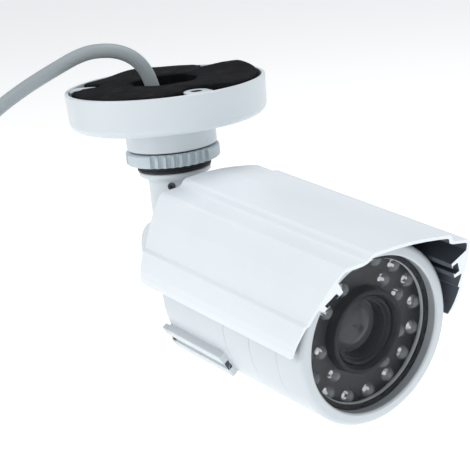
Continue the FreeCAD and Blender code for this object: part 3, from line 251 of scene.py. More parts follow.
MAT = {
    "white_paint": painted("white_paint", (0.62, 0.67, 0.70), specks=False),
    "white_cast": painted("white_cast", (0.63, 0.68, 0.71), specks=True, grain=1300.0, depth=0.00003),
    "white_shield": painted("white_shield", (0.76, 0.80, 0.83), rough=(0.27, 0.37), grain=1600.0, depth=0.000004, coat=0.1),
    "grey_ring": moulded("grey_ring", (0.55, 0.62, 0.66), rough=(0.35, 0.5), depth=0.00002),
    "foam": foam_material(),
    "black_rubber": moulded("black_rubber", (0.016, 0.017, 0.020), rough=(0.5, 0.7), grain=1400.0, depth=0.00003, spec=0.4),
    "cable_grey": moulded("cable_grey", (0.31, 0.35, 0.366), rough=(0.42, 0.55), grain=700.0, depth=0.00003, spec=0.4, var=0.93),
    "black_plastic": moulded("black_plastic", (0.026, 0.028, 0.032), rough=(0.35, 0.5), grain=1100.0, depth=0.00003),
    "shroud": moulded("shroud", (0.013, 0.013, 0.018), rough=(0.45, 0.6), grain=1500.0, depth=0.00002, spec=0.35),
    "window_glass": clear("window_glass", (0.03, 0.033, 0.04), 0.10, 0.02, 1.45, 0.0),
    "lens_glass": clear("lens_glass", (0.035, 0.038, 0.046), 0.55, 0.04, 1.6, 0.4),
    "filter_glass": clear("filter_glass", (0.55, 0.18, 0.22), 0.5, 0.05, 1.5),
    "lamp_epoxy": clear("lamp_epoxy", (0.50, 0.53, 0.56), 0.34, 0.04, 1.6, 0.6),
    "circuit_board": board_material("circuit_board", (0.012, 0.10, 0.045)),
    "lamp_board_dark": board_material("lamp_board_dark", (0.022, 0.025, 0.028)),
    "chip_black": moulded("chip_black", (0.02, 0.02, 0.022), rough=(0.45, 0.6)),
    "steel": metal("steel", (0.62, 0.63, 0.65)),
    "dark_steel": metal("dark_steel", (0.10, 0.10, 0.11), (0.3, 0.5)),
    "brass_nickel": metal("brass_nickel", (0.66, 0.63, 0.56), (0.18, 0.32)),
    "silver": moulded("silver", (0.93, 0.94, 0.95), rough=(0.15, 0.3), spec=0.9),
    "cell_sensor": clear("cell_sensor", (0.45, 0.10, 0.05), 0.7, 0.08, 1.5),
    "copper": metal("copper", (0.72, 0.42, 0.26), (0.2, 0.35)),
}
# silver lead frames inside the lamp bulbs, with a faint white emission: painted glint, so the frames glow though they
# give no visible light
MAT["lamp_metal_painted_glint"] = moulded("lamp_metal_painted_glint", (0.95, 0.96, 0.97), rough=(0.12, 0.25), spec=1.0)
_lm = [n for n in MAT["lamp_metal_painted_glint"].node_tree.nodes if n.type == "BSDF_PRINCIPLED"][0]
_lm.inputs["Emission Color"].default_value = (0.95, 0.97, 1.0, 1.0)
_lm.inputs["Emission Strength"].default_value = 0.45
# dark grey-blue for the hood's inner faces: painted shade, standing in for the shadow inside the hood
MAT["shield_inner_painted_shade"] = moulded("shield_inner_painted_shade", (0.075, 0.088, 0.105), rough=(0.35, 0.5), grain=1800.0, depth=0.00001)



def cad(node):
    return bpy.data.objects[node]


slots = {s["node"]: s["material_slot"] for s in frame["record"]["subparts"]}
for node, slot in slots.items():
    ob = bpy.data.objects.get(node)
    if ob is None or ob.type != "MESH":
        continue
    mat = MAT.get(slot, MAT["black_plastic"])
    if not ob.material_slots:
        ob.data.materials.append(mat)
    for ms in ob.material_slots:
        ms.material = mat


# ---------------------------------------------------------------------------
# Mesh helpers, all sizes in millimetres
# ---------------------------------------------------------------------------
def fillet2d(pts, seg=4, closed=True):
    """Rounds the corners of an outline given as (a, b) or (a, b, radius)."""
    res = []
    n = len(pts)
    for i, p in enumerate(pts):
        r = p[2] if len(p) > 2 else 0.0
        if r <= 0 or (not closed and i in (0, n - 1)):
            res.append((p[0], p[1]))
            continue
        a, c = Vector(pts[i - 1][:2]), Vector(pts[(i + 1) % n][:2])
        b = Vector(p[:2])
        u1, u2 = (a - b), (c - b)
        l1, l2 = u1.length, u2.length
        u1.normalize(); u2.normalize()
        ang = u1.angle(u2)
        if ang > math.pi - 0.02 or ang < 0.05:
            res.append((b.x, b.y))
            continue
        t = min(r / math.tan(ang / 2), 0.49 * l1, 0.49 * l2)
        rr = t * math.tan(ang / 2)
        p1, p2 = b + u1 * t, b + u2 * t
        cen = b + (u1 + u2).normalized() * (rr / math.sin(ang / 2))
        a1 = math.atan2(p1.y - cen.y, p1.x - cen.x)
        a2 = math.atan2(p2.y - cen.y, p2.x - cen.x)
        d = (a2 - a1 + math.pi) % (2 * math.pi) - math.pi
        for k in range(seg + 1):
            th = a1 + d * k / seg
            res.append((cen.x + rr * math.cos(th), cen.y + rr * math.sin(th)))
    return res


def link(name, me, body, mat, angle=32.0):
    ob = bpy.data.objects.new(name, me)
    bpy.context.scene.collection.objects.link(ob)
    me.materials.append(MAT[mat])
    for p in me.polygons:
        p.use_smooth = True
    me.set_sharp_from_angle(angle=math.radians(angle))
    wn = ob.modifiers.new("weighted", "WEIGHTED_NORMAL")
    wn.keep_sharp = True
    wn.weight = 80
    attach(ob, body)
    return ob


def from_bmesh(name, bm, body, mat, angle=32.0, fix=True):
    if fix:
        bmesh.ops.remove_doubles(bm, verts=bm.verts, dist=1e-7)
        bmesh.ops.recalc_face_normals(bm, faces=bm.faces)
    me = bpy.data.meshes.new(name)
    bm.to_mesh(me)
    bm.free()
    return link(name, me, body, mat, angle)


def lathe_into(bm, pts, matrix, segs=128, axis="X", open_profile=False):
    """Turns a closed outline (along, radius) about an axis."""
    rings = []
    for a, r in pts:
        if r < 1e-6:
            p = Vector((a, 0, 0)) if axis == "X" else Vector((0, 0, a))
            rings.append([bm.verts.new((matrix @ p) * MM)])
            continue
        ring = []
        for k in range(segs):
            t = 2 * math.pi * k / segs
            p = Vector((a, r * math.cos(t), r * math.sin(t))) if axis == "X" else Vector((r * math.cos(t), r * math.sin(t), a))
            ring.append(bm.verts.new((matrix @ p) * MM))
        rings.append(ring)
    n = len(rings)
    for i in range(n - 1 if open_profile else n):
        A, B = rings[i], rings[(i + 1) % n]
        if len(A) == 1 and len(B) == 1:
            continue
        for k in range(segs):
            k2 = (k + 1) % segs
            vs = []
            for v in ([A[0]] if len(A) == 1 else [A[k], A[k2]]) + ([B[0]] if len(B) == 1 else [B[k2], B[k]]):
                if v not in vs:
                    vs.append(v)
            if len(vs) >= 3:
                try:
                    bm.faces.new(vs)
                except ValueError:
                    pass


def lathe(name, pts, matrix, body, mat, segs=128, axis="X", angle=32.0, open_profile=False):
    bm = bmesh.new()
    lathe_into(bm, pts, matrix, segs, axis, open_profile)
    return from_bmesh(name, bm, body, mat, angle)


def prism_into(bm, outline, stations, place):
    """Skins an outline through stations; place(point, station) gives the 3-D point in mm."""
    rings = [[bm.verts.new(place(p, s) * MM) for p in outline] for s in stations]
    n = len(outline)
    for A, B in zip(rings, rings[1:]):
        for i in range(n):
            bm.faces.new((A[i], A[(i + 1) % n], B[(i + 1) % n], B[i]))
    bm.faces.new(rings[0])
    bm.faces.new(list(reversed(rings[-1])))


def inset(outline, d):
    """Moves a closed outline inwards by d (outline runs anticlockwise)."""
    n = len(outline)
    area = sum(outline[i][0] * outline[(i + 1) % n][1] - outline[(i + 1) % n][0] * outline[i][1] for i in range(n))
    sgn = 1.0 if area > 0 else -1.0
    res = []
    for i in range(n):
        a, b, c = Vector(outline[i - 1]), Vector(outline[i]), Vector(outline[(i + 1) % n])
        d1, d2 = (b - a), (c - b)
        if d1.length < 1e-9 or d2.length < 1e-9:
            res.append(tuple(b))
            continue
        d1.normalize(); d2.normalize()
        n1, n2 = Vector((-d1.y, d1.x)) * sgn, Vector((-d2.y, d2.x)) * sgn
        k = max(0.35, 1 + n1.dot(n2))
        res.append(tuple(b + (n1 + n2) / k * d))
    return res


def bar(x, y, z):
    return BARREL @ Vector((x, y, z))


def polar_pt(rho, tau, deg):
    a = math.radians(deg)
    return (rho * math.cos(a) - tau * math.sin(a), rho * math.sin(a) + tau * math.cos(a))


# ---------------------------------------------------------------------------
# Cords first
# ---------------------------------------------------------------------------
COIL_S, COIL_M, R_C = 58.5, -28.0, 29.0
TOP = FL + 2 * CR


def on_coil(deg, radius, z):
    a = math.radians(-deg)
    return sm(COIL_S + radius * math.cos(a), COIL_M + radius * math.sin(a), z)


def tangent_pl(deg, radius, z):
    p = on_coil(deg, radius, z)
    t = (on_coil(deg + 0.5, radius, z) - on_coil(deg - 0.5, radius, z)).normalized()
    y = Vector((0, 0, 1)).cross(t)
    mm = Matrix((t, y, Vector((0, 0, 1)))).transposed().to_4x4()
    mm.translation = p
    return mm


def cord_curve(name, pts, radius, mat, body="base"):
    cu = bpy.data.curves.new(name, "CURVE")
    cu.dimensions = "3D"
    sp = cu.splines.new("NURBS")
    sp.points.add(len(pts) - 1)
    for q, p in zip(sp.points, pts):
        q.co = (p.x * MM, p.y * MM, p.z * MM, 1.0)
        q.radius = radius * MM
    sp.order_u = 3
    sp.use_endpoint_u = True
    cu.resolution_u = 14
    cu.bevel_depth = 1.0
    cu.bevel_resolution = 10
    cu.use_fill_caps = True
    cu.materials.append(MAT[mat])
    ob = bpy.data.objects.new(name, cu)
    bpy.context.scene.collection.objects.link(ob)
    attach(ob, body)
    return ob


ROUTE = [
    sm(3.6, 0, -9.0), sm(4.6, 0.1, -2.6), sm(6.2, 0.2, 3.9), sm(9.4, 0.2, 9.2), sm(14.6, 0.1, 12.8),
    sm(21.2, 0, 14.4), sm(30.0, 0, 14.0), sm(42.0, -0.2, 8.7), sm(54.0, -0.6, 2.9), sm(66.0, -0.8, -4.2),
    sm(76.8, -0.6, -13.4), sm(85.2, -0.1, -26.4), sm(90.0, 0.2, -46.5), sm(91.3, 0.4, -80.0), sm(90.8, 0.2, -125.0),
    sm(91.4, 0.9, FL + 54.0), sm(91.2, 0.9, FL + 28.0), sm(91.1, -1.2, FL + 12.0), sm(90.9, -7.0, FL + 4.4),
    sm(91.1, -14.0, FL + CR)]


def turn_r(t):
    if t <= 300:
        return 32.5
    if t <= 360:
        u = (t - 300) / 60.0
        return 32.5 - 5.5 * (u * u * (3 - 2 * u))
    if t <= 640:
        return 27.0
    if t <= 690:
        u = (t - 640) / 50.0
        return 27.0 + 2.8 * (u * u * (3 - 2 * u))
    return 29.8


def turn_z(t):
    if t <= 632:
        return FL + CR
    if t <= 672:
        u = (t - 632) / 40.0
        return FL + CR + 5.55 * (u * u * (3 - 2 * u))
    return FL + CR + 5.55


COIL = [on_coil(t, turn_r(t) / 0.985, turn_z(t)) for t in range(0, 761, 20)]
SPL = tangent_pl(78.0, R_C + 0.2, TOP + 0.1)
COIL.append(SPL @ Vector((-11.0, 0.0, 3.0)))
main_cable = cord_curve("main_cable", ROUTE + COIL, CR, "cable_grey")
BNC = tangent_pl(257.0, R_C - 0.5, TOP + 0.1)
JACK = tangent_pl(191.0, 21.3, TOP + 0.1)
BZ, JZ = 6.1, 4.7
video_cord = cord_curve("video_cord", [
    SPL @ Vector((11.05, -3.0, 3.4)), SPL @ Vector((17.0, -2.3, 2.9)), on_coil(117.5, 34.6, TOP + VR + 0.2),
    on_coil(131.0, 33.2, TOP + VR + 0.1), on_coil(147.0, 33.1, TOP + VR + 0.1), on_coil(164.0, 33.3, TOP + VR + 0.1),
    on_coil(182.0, 33.7, TOP + VR + 0.3), on_coil(197.0, 34.0, TOP + VR + 1.2), on_coil(209.0, 34.1, TOP + VR + 2.5),
    on_coil(219.5, 33.5, TOP + VR + 3.7), BNC @ Vector((-15.05, 0, BZ))], VR, "black_rubber")
power_cord = cord_curve("power_cord", [
    SPL @ Vector((10.4, 3.0, 3.4)), SPL @ Vector((16.4, 3.2, 2.7)), on_coil(122.5, 29.6, TOP + PR + 0.3),
    on_coil(134.5, 29.0, TOP + PR + 0.8), on_coil(146.0, 27.6, TOP + PR + 2.0), JACK @ Vector((-13.0, 0, JZ))],
    PR, "black_rubber")
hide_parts("cable_tube", "cable_coil")
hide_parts("video_lead")
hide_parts("power_lead")


def spline_length(ob):
    """Length along the route's own NURBS line."""
    cu = ob.data
    depth = cu.bevel_depth
    cu.bevel_depth = 0.0
    cu.use_fill_caps = False
    bpy.context.view_layer.update()
    me = bpy.data.meshes.new_from_object(ob.evaluated_get(bpy.context.evaluated_depsgraph_get()))
    pts = [v.co.copy() for v in me.vertices]
    bpy.data.meshes.remove(me)
    cu.bevel_depth = depth
    cu.use_fill_caps = True
    return sum((b - a).length for a, b in zip(pts, pts[1:]))


# splitter, tie and connectors
def splitter():
    bm = bmesh.new()
    prof = fillet2d([(-11.0, -3.6, 1.2), (-4.0, -6.0, 3.0), (9.0, -6.0, 1.8), (11.0, -5.2, 0.8), (11.0, 5.2, 0.8), (9.0, 6.0, 1.8), (-4.0, 6.0, 3.0), (-11.0, 3.6, 1.2)], 4)
    levels = [(0.0, 0.8), (0.25, 0.25), (0.8, 0.0), (3.65, 0.0), (3.7, 0.12), (3.75, 0.0), (6.6, 0.0), (7.15, 0.25), (7.4, 0.8)]
    rings = []
    for z, d in levels:
        rings.append([bm.verts.new((SPL @ Vector((p[0], p[1], z))) * MM) for p in inset(prof, d)])
    n = len(prof)
    for A, B in zip(rings, rings[1:]):
        for i in range(n):
            bm.faces.new((A[i], A[(i + 1) % n], B[(i + 1) % n], B[i]))
    bm.faces.new(rings[0]); bm.faces.new(list(reversed(rings[-1])))
    # collar on the cable side
    lathe_into(bm, [(-13.4, 2.85), (-13.0, 3.25), (-10.6, 3.45), (-10.6, 2.85)], SPL @ Matrix.Translation((0, 0, 3.4)), 32)
    return from_bmesh("splitter_block", bm, "base", "black_rubber")


split = splitter()
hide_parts("cable_splitter")
tie_m = tangent_pl(133.0, R_C + 0.75, FL)


def strap():
    bm = bmesh.new()
    outer = fillet2d([(-7.0, 0.05, 1.6), (7.0, 0.05, 1.6), (7.0, 11.3, 2.2), (-7.0, 11.3, 2.2)], 6)
    inner = fillet2d([(-6.3, 0.7, 1.0), (6.3, 0.7, 1.0), (6.3, 10.6, 1.6), (-6.3, 10.6, 1.6)], 6)
    rings = []
    for x in (-1.7, 1.7):
        rings.append(([bm.verts.new((tie_m @ Vector((x, p[0], p[1]))) * MM) for p in outer],
                      [bm.verts.new((tie_m @ Vector((x, p[0], p[1]))) * MM) for p in inner]))
    n = len(outer)
    (o0, i0), (o1, i1) = rings
    for k in range(n):
        k2 = (k + 1) % n
        bm.faces.new((o0[k], o0[k2], o1[k2], o1[k]))
        bm.faces.new((i0[k2], i0[k], i1[k], i1[k2]))
        bm.faces.new((o0[k2], o0[k], i0[k], i0[k2]))
        bm.faces.new((o1[k], o1[k2], i1[k2], i1[k]))
    return from_bmesh("coil_tie", bm, "base", "black_plastic", angle=40)


tie = strap()
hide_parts("cable_tie")


def knurled(bm, matrix, x0, x1, r, teeth=28, depth=0.25):
    """A ring of fine ribs."""
    segs = teeth * 4
    rings = []
    for x, k in ((x0, 0.35), (x0 + 0.3, 1.0), (x1 - 0.3, 1.0), (x1, 0.35)):
        ring = []
        for i in range(segs):
            t = 2 * math.pi * i / segs
            rr = r + depth * k * (0.5 + 0.5 * math.cos(t * teeth))
            ring.append(bm.verts.new((matrix @ Vector((x, rr * math.cos(t), rr * math.sin(t)))) * MM))
        rings.append(ring)
    for A, B in zip(rings, rings[1:]):
        for i in range(segs):
            bm.faces.new((A[i], A[(i + 1) % segs], B[(i + 1) % segs], B[i]))
    bm.faces.new(rings[0]); bm.faces.new(list(reversed(rings[-1])))


def video_connector():
    mtx = BNC @ Matrix.Translation((0, 0, BZ))
    bm = bmesh.new()
    lathe_into(bm, fillet2d([(-6.2, 0), (-6.2, 4.8, 0.4), (-5.0, 5.6, 0.3), (-1.2, 5.6, 0.3), (-0.8, 4.8, 0.2), (14.6, 4.8, 0.3), (15.0, 4.4, 0.1), (15.0, 3.95, 0.1), (3.0, 3.95), (3.0, 0)], 3), mtx, 64)
    knurled(bm, mtx, -4.9, -1.4, 5.62, 30, 0.25)
    for a in (40, 220):
        c, s = math.cos(math.radians(a)), math.sin(math.radians(a))
        mm = mtx @ Matrix.Translation((11.5, 4.5 * c, 4.5 * s)) @ Matrix.Rotation(math.radians(a - 90), 4, "X")
        lathe_into(bm, [(0, 0), (0, 0.95), (1.1, 0.95), (1.3, 0.75), (1.3, 0)], mm, 20, "Z")
    lathe_into(bm, [(3.0, 0.0), (3.0, 0.5), (10.0, 0.5), (10.4, 0.0)], mtx, 16)
    metal_part = from_bmesh("video_plug_shell", bm, "base", "brass_nickel")
    bm = bmesh.new()
    lathe_into(bm, fillet2d([(-15.0, 0), (-15.0, 2.6, 0.3), (-13.5, 2.9, 0.4), (-12.9, 2.6, 0.2), (-12.3, 3.1, 0.3), (-11.5, 2.8, 0.2), (-10.8, 3.5, 0.3), (-6.1, 4.7, 0.3), (-6.1, 0)], 3), mtx, 48)
    lathe_into(bm, [(3.0, 0.6), (3.0, 3.0), (12.5, 3.0), (12.8, 2.6), (12.8, 1.6), (4.0, 1.5)], mtx, 40)
    boot = from_bmesh("video_plug_boot", bm, "base", "black_rubber")
    return metal_part, boot


def power_connector():
    mtx = JACK @ Matrix.Translation((0, 0, JZ))
    bm = bmesh.new()
    lathe_into(bm, fillet2d([(-14.0, 0), (-14.0, 2.2, 0.3), (-12.8, 2.5, 0.3), (-12.3, 2.2, 0.2), (-11.7, 2.7, 0.3), (-11.0, 2.4, 0.2), (-10.4, 3.0, 0.3), (-8.0, 3.4, 0.5), (-6.2, 4.45, 0.6), (13.6, 4.45, 0.4), (14.0, 4.0, 0.1), (14.0, 2.8), (3.0, 2.8), (3.0, 0)], 3), mtx, 56)
    for x in (-3.0, -1.0, 1.0, 3.0, 5.0):
        knurled(bm, mtx, x, x + 1.1, 4.30, 24, 0.2)
    jack = from_bmesh("power_plug_body", bm, "base", "black_plastic")
    bm = bmesh.new()
    lathe_into(bm, [(3.0, 0.0), (3.0, 1.0), (11.0, 1.0), (11.5, 0.6), (11.5, 0.0)], mtx, 20)
    pin = from_bmesh("power_plug_pin", bm, "base", "silver")
    return jack, pin


vshell, vboot = video_connector()
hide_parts("video_connector")
pbody, ppin = power_connector()
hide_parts("power_connector")
round(spline_length(main_cable), 4)
round(spline_length(video_cord), 4)
round(spline_length(power_cord), 4)

# ---------------------------------------------------------------------------
# Bracket base
# ---------------------------------------------------------------------------
BOSS_AZ = [-132.0, -12.0, 108.0]


def base_cup():
    bm = bmesh.new()
    outline = fillet2d([
        (0.0, 37.1, 0.25), (0.0, 38.5, 0.45), (-14.2, 37.9, 3.4), (-15.5, 17.5, 1.7), (-24.6, 17.5, 0.8),
        (-24.6, 15.3), (-28.0, 15.3), (-28.0, 12.9), (-17.6, 12.9), (-17.6, 8.4), (-11.6, 8.4, 0.3),
        (-11.6, 33.4, 1.0), (-4.2, 33.4, 0.5), (-4.2, 37.1, 0.4)], 5)
    lathe_into(bm, outline, WORLD, 192, "Z")
    return from_bmesh("bracket_cup", bm, "base", "white_cast", angle=30)


cup = base_cup()


def boss(az):
    """A rounded tab that runs from the screw boss into the rim, with a real hole."""
    c, s = math.cos(math.radians(az)), math.sin(math.radians(az))
    place = Matrix(((c, -s, 0, 0), (s, c, 0, 0), (0, 0, 1, 0), (0, 0, 0, 1)))
    bm = bmesh.new()
    ring_n = 48
    R0, hr = 30.5, 2.25
    outer, inner = [], []
    for k in range(ring_n):
        t = 2 * math.pi * k / ring_n
        x, y = math.cos(t), math.sin(t)
        if abs(t - math.pi) <= math.pi / 2 + 1e-6:
            p = (R0 + 4.9 * x, 4.9 * y)
        else:
            # flares out to meet the rim
            far = math.sqrt(max(0.0, 37.35 ** 2 - (6.4 * y) ** 2))
            u = max(0.0, x)
            p = (R0 + (far - R0) * u ** 0.45, y * (4.9 + 1.8 * u ** 1.2) if u > 0 else 4.9 * y)
        outer.append(p)
        inner.append((R0 + hr * x, hr * y))
    def put(p, z):
        return bm.verts.new((place @ Vector((p[0], p[1], z))) * MM)
    def shrink(ps, d, sign=1):
        res = []
        for i, p in enumerate(ps):
            a, b = Vector(ps[i - 1]), Vector(ps[(i + 1) % len(ps)])
            t = (b - a)
            if t.length < 1e-6:
                res.append(p); continue
            t.normalize()
            nrm = Vector((-t.y, t.x)) * sign
            res.append((p[0] + nrm.x * d, p[1] + nrm.y * d))
        return res
    levels_o = [(-11.8, 0.0), (-0.75, 0.0), (-0.38, 0.12), (-0.22, 0.42)]
    levels_i = [(-0.22, 0.12), (-0.26, 0.03), (-0.34, 0.0), (-11.8, 0.0)]
    rings = [[put(p, z) for p in shrink(outer, d)] for z, d in levels_o]
    rings += [[put(p, z) for p in shrink(inner, -d)] for z, d in levels_i]
    for A, B in zip(rings, rings[1:] + rings[:1]):
        for i in range(ring_n):
            bm.faces.new((A[i], A[(i + 1) % ring_n], B[(i + 1) % ring_n], B[i]))
    return bm


def drilled(ob, cutters):
    """Cuts closed solids out of a piece and keeps the result as its mesh."""
    tools = []
    for bm_c in cutters:
        bmesh.ops.recalc_face_normals(bm_c, faces=bm_c.faces)
        mc = bpy.data.meshes.new("tool")
        bm_c.to_mesh(mc)
        bm_c.free()
        oc = bpy.data.objects.new("tool", mc)
        bpy.context.scene.collection.objects.link(oc)
        md = ob.modifiers.new("cut", "BOOLEAN")
        md.object = oc
        md.operation = "DIFFERENCE"
        md.solver = "EXACT"
        tools.append(oc)
    wn = ob.modifiers.get("weighted")
    if wn:
        ob.modifiers.remove(wn)
    bpy.context.view_layer.update()
    me_new = bpy.data.meshes.new_from_object(ob.evaluated_get(bpy.context.evaluated_depsgraph_get()))
    ob.modifiers.clear()
    ob.data = me_new
    for p in me_new.polygons:
        p.use_smooth = True
    me_new.set_sharp_from_angle(angle=math.radians(30))
    wn = ob.modifiers.new("weighted", "WEIGHTED_NORMAL")
    wn.keep_sharp = True
    for oc in tools:
        mc = oc.data
        bpy.data.objects.remove(oc)
        bpy.data.meshes.remove(mc)


holes = []
for az in BOSS_AZ:
    bmc = bmesh.new()
    pos = Vector((30.5 * math.cos(math.radians(az)), 30.5 * math.sin(math.radians(az)), 0))
    lathe_into(bmc, [(-20.0, 0.0), (-20.0, 4.2), (-14.1, 4.2), (-12.2, 2.25), (-11.0, 2.25), (-11.0, 0.0)], Matrix.Translation(pos), 32, "Z")
    holes.append(bmc)
drilled(cup, holes)
# dark steel sleeves lining the boss holes: painted shade, darkening the hole walls where shade falls inside them
bm = bmesh.new()
for az in BOSS_AZ:
    pos = Vector((30.5 * math.cos(math.radians(az)), 30.5 * math.sin(math.radians(az)), 0))
    lathe_into(bm, [(-0.33, 2.24), (-0.45, 2.14), (-11.9, 2.14), (-11.9, 2.3), (-0.4, 2.3)], Matrix.Translation(pos), 40, "Z")
bores = from_bmesh("bracket_bores", bm, "base", "dark_steel")
bosses = []
for i, az in enumerate(BOSS_AZ):
    b = from_bmesh("bracket_boss_%d" % i, boss(az), "base", "white_cast", angle=35)
    bosses.append(b)
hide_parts("mount_base")


def foam():
    """Soft die-cut sheet: uneven edge, lifted at one side, cut round the bosses, with an uneven hole."""
    bm = bmesh.new()
    na, nr = 240, 26

    def hole_r(a):
        return 12.6 + 0.35 * math.sin(3 * a + 0.7) + 0.25 * math.sin(7 * a)

    def edge_r(a):
        d = math.degrees(a)
        r = 36.1 + 0.35 * math.sin(2 * a + 0.4) + 0.25 * math.sin(5 * a + 1.0) + 0.12 * math.sin(11 * a)
        for cen, wd, amp in ((197.0, 15.0, 2.3), (44.0, 17.0, 1.5), (127.0, 10.0, 1.6)):
            g = (d - cen + 180) % 360 - 180
            r -= amp * math.exp(-(g / wd) ** 2)
        for az in BOSS_AZ:
            dd = abs((d - az + 180) % 360 - 180)
            wdt = 13.5 if az != -12.0 else 16.0
            if dd < wdt + 5:
                u = min(1.0, max(0.0, (wdt + 5 - dd) / 7.0))
                u = u * u * (3 - 2 * u)
                x = 30.5
                # stays outside a disc of 5.0 round the boss
                disc = x * math.cos(math.radians(dd)) - math.sqrt(max(0.0, 5.0 ** 2 - (x * math.sin(math.radians(dd))) ** 2)) if x * math.sin(math.radians(dd)) < 5.0 else 31.5
                r = r * (1 - u) + min(r, disc) * u
        return r

    def lift(a, t):
        """Height of the top face above the rim: t from the hole, 0, to the edge, 1."""
        d = math.degrees(a)
        z = 1.0 - 0.55 * t ** 4
        z += 0.22 * math.sin(3 * a + 1.2) * t + 0.16 * math.sin(6 * a + 0.3) * t * t
        dd = abs((d - 91.0 + 180) % 360 - 180)
        z += 2.3 * math.exp(-(dd / 19.0) ** 2) * t ** 1.5
        dd = abs((d - 166.0 + 180) % 360 - 180)
        z += 1.3 * math.exp(-(dd / 15.0) ** 2) * t ** 1.5
        dd = abs((d - 10.0 + 180) % 360 - 180)
        z += 0.4 * math.exp(-(dd / 24.0) ** 2) * t
        if t < 0.08:
            z -= 0.5 * (1 - t / 0.08) ** 2
        if t > 0.95:
            z -= 0.55 * ((t - 0.95) / 0.05) ** 2
        return z

    top, bot = [], []
    for j in range(nr + 1):
        u = j / nr
        ring, ring2 = [], []
        for i in range(na):
            a = 2 * math.pi * i / na
            r = hole_r(a) + (edge_r(a) - hole_r(a)) * u
            ring.append(bm.verts.new(Vector((r * math.cos(a), r * math.sin(a), lift(a, u))) * MM))
            ring2.append(bm.verts.new(Vector((r * math.cos(a), r * math.sin(a), -4.1)) * MM))
        top.append(ring); bot.append(ring2)
    for A, B in zip(top, top[1:]):
        for i in range(na):
            bm.faces.new((A[i], A[(i + 1) % na], B[(i + 1) % na], B[i]))
    for A, B in zip(bot, bot[1:]):
        for i in range(na):
            bm.faces.new((B[i], B[(i + 1) % na], A[(i + 1) % na], A[i]))
    for i in range(na):
        k = (i + 1) % na
        bm.faces.new((top[-1][i], top[-1][k], bot[-1][k], bot[-1][i]))
        bm.faces.new((bot[0][i], bot[0][k], top[0][k], top[0][i]))
    return from_bmesh("foam_pad", bm, "base", "foam", angle=50)


pad = foam()
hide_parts("foam_gasket")

# thread turns in the gap above the lock ring
bm = bmesh.new()
for k in range(3):
    z = -25.0 - 1.1 * k
    lathe_into(bm, [(z + 0.35, 15.2), (z, 15.62), (z - 0.35, 15.2)], WORLD, 96, "Z")
thread = from_bmesh("stem_thread", bm, "base", "black_rubber")

# ---------------------------------------------------------------------------
# Lock ring: true fluted outline
# ---------------------------------------------------------------------------
def lock_ring():
    bm = bmesh.new()
    mid = -24.5
    n = 720

    def r_at(deg, scale=1.0):
        for g in range(3):
            d = (deg - (mid + 120 * g) + 180) % 360 - 180
            if abs(d) <= 40.0:
                u = (d + 40.0) / 10.0
                f = u - math.floor(u)
                w = abs(f - 0.5) / 0.5          # 0 at the groove's middle, 1 at the rib
                h = math.sqrt(max(0.0, 1 - (min(1.0, (1 - w) * 1.0) - 1) ** 2)) if False else 0
                if w < 0.62:
                    return 18.25 - 1.6 * scale * math.sqrt(1 - (w / 0.62) ** 2) ** 0.38
                return 18.25 + 0.0 * h
        return 18.25

    levels = [(-25.2, 15.75, None), (-25.2, 17.3, 0.0), (-25.42, 17.85, 0.35), (-25.75, 18.15, 0.9), (-25.95, 18.25, 1.0),
              (-29.4, 18.25, 1.0), (-29.7, 18.1, 0.9), (-29.95, 17.8, 0.5), (-30.2, 17.2, 0.0), (-30.2, 10.35, None),
              (-28.6, 10.35, None), (-28.6, 15.75, None)]
    rings = []
    for z, r, f in levels:
        ring = []
        for i in range(n):
            a = 2 * math.pi * i / n
            rr = r
            if f is not None:
                dip = 18.25 - r_at(math.degrees(a))
                rr = min(r, 18.25 - dip * 1.0) if dip > 0 else r
                if f == 0.0:
                    rr = min(r, 18.25 - dip)
            ring.append(bm.verts.new(Vector((rr * math.cos(a), rr * math.sin(a), z)) * MM))
        rings.append(ring)
    for A, B in zip(rings, rings[1:] + rings[:1]):
        for i in range(n):
            bm.faces.new((A[i], A[(i + 1) % n], B[(i + 1) % n], B[i]))
    return from_bmesh("ring_fluted", bm, "lock_ring", "grey_ring", angle=38)


ring = lock_ring()
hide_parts("lock_ring")

# ---------------------------------------------------------------------------
# Swivel seal (round-edged rubber)
# ---------------------------------------------------------------------------
seal = lathe("seal_band", fillet2d([(-30.7, 9.8), (-30.7, 14.0, 0.6), (-31.6, 14.35, 0.4), (-31.85, 13.9, 0.2), (-32.1, 14.4, 0.4), (-33.25, 14.3, 0.5), (-33.25, 9.8)], 4),
             WORLD, "arm", "black_rubber", 128, "Z")
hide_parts("swivel_seal")

# ---------------------------------------------------------------------------
# Barrel sleeves
# ---------------------------------------------------------------------------
RB = 32.6


def sleeve(name, x0, x1, node, spigot, mat="white_paint"):
    pts = []
    if spigot:
        pts += [(x0 - 5.0, 28.2), (x0 - 5.0, 29.7), (x0, 29.7)]
    else:
        pts += [(x0, 29.8)]
    pts += [(x0, RB - 0.05, 0.22), (x0 + 0.001, RB, 0.22), (x1, RB, 0.28), (x1, 29.8)]
    if spigot:
        pts += [(x0 + 3, 29.8), (x0 + 3, 28.2)]
    pts = [p for p in pts if not (len(p) == 3 and abs(p[0] - (x0 + 0.001)) < 1e-9)]
    pts = [(p[0], RB, 0.28) if (len(p) == 3 and p[0] == x0) else p for p in pts]
    ob = lathe(name, fillet2d(pts, 4), BARREL, "barrel", mat, 192)
    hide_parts(node)
    return ob


sleeve("sleeve_mid", 69.03, 83.47, "middle_sleeve", True)
sleeve("sleeve_front", 83.53, 98.47, "front_sleeve", True)
bez = lathe("bezel_ring", fillet2d([
    (93.5, 28.2), (93.5, 29.7), (98.53, 29.7), (98.53, RB, 0.28), (112.0, RB, 2.5), (112.0, 28.55, 0.5), (111.45, 28.0, 0.1),
    (107.4, 28.0), (107.4, 25.8, 0.2), (106.1, 25.8, 0.2), (105.4, 28.2), (101.5, 29.4), (101.5, 28.2)], 6), BARREL, "barrel", "white_paint", 224)
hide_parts("front_bezel")

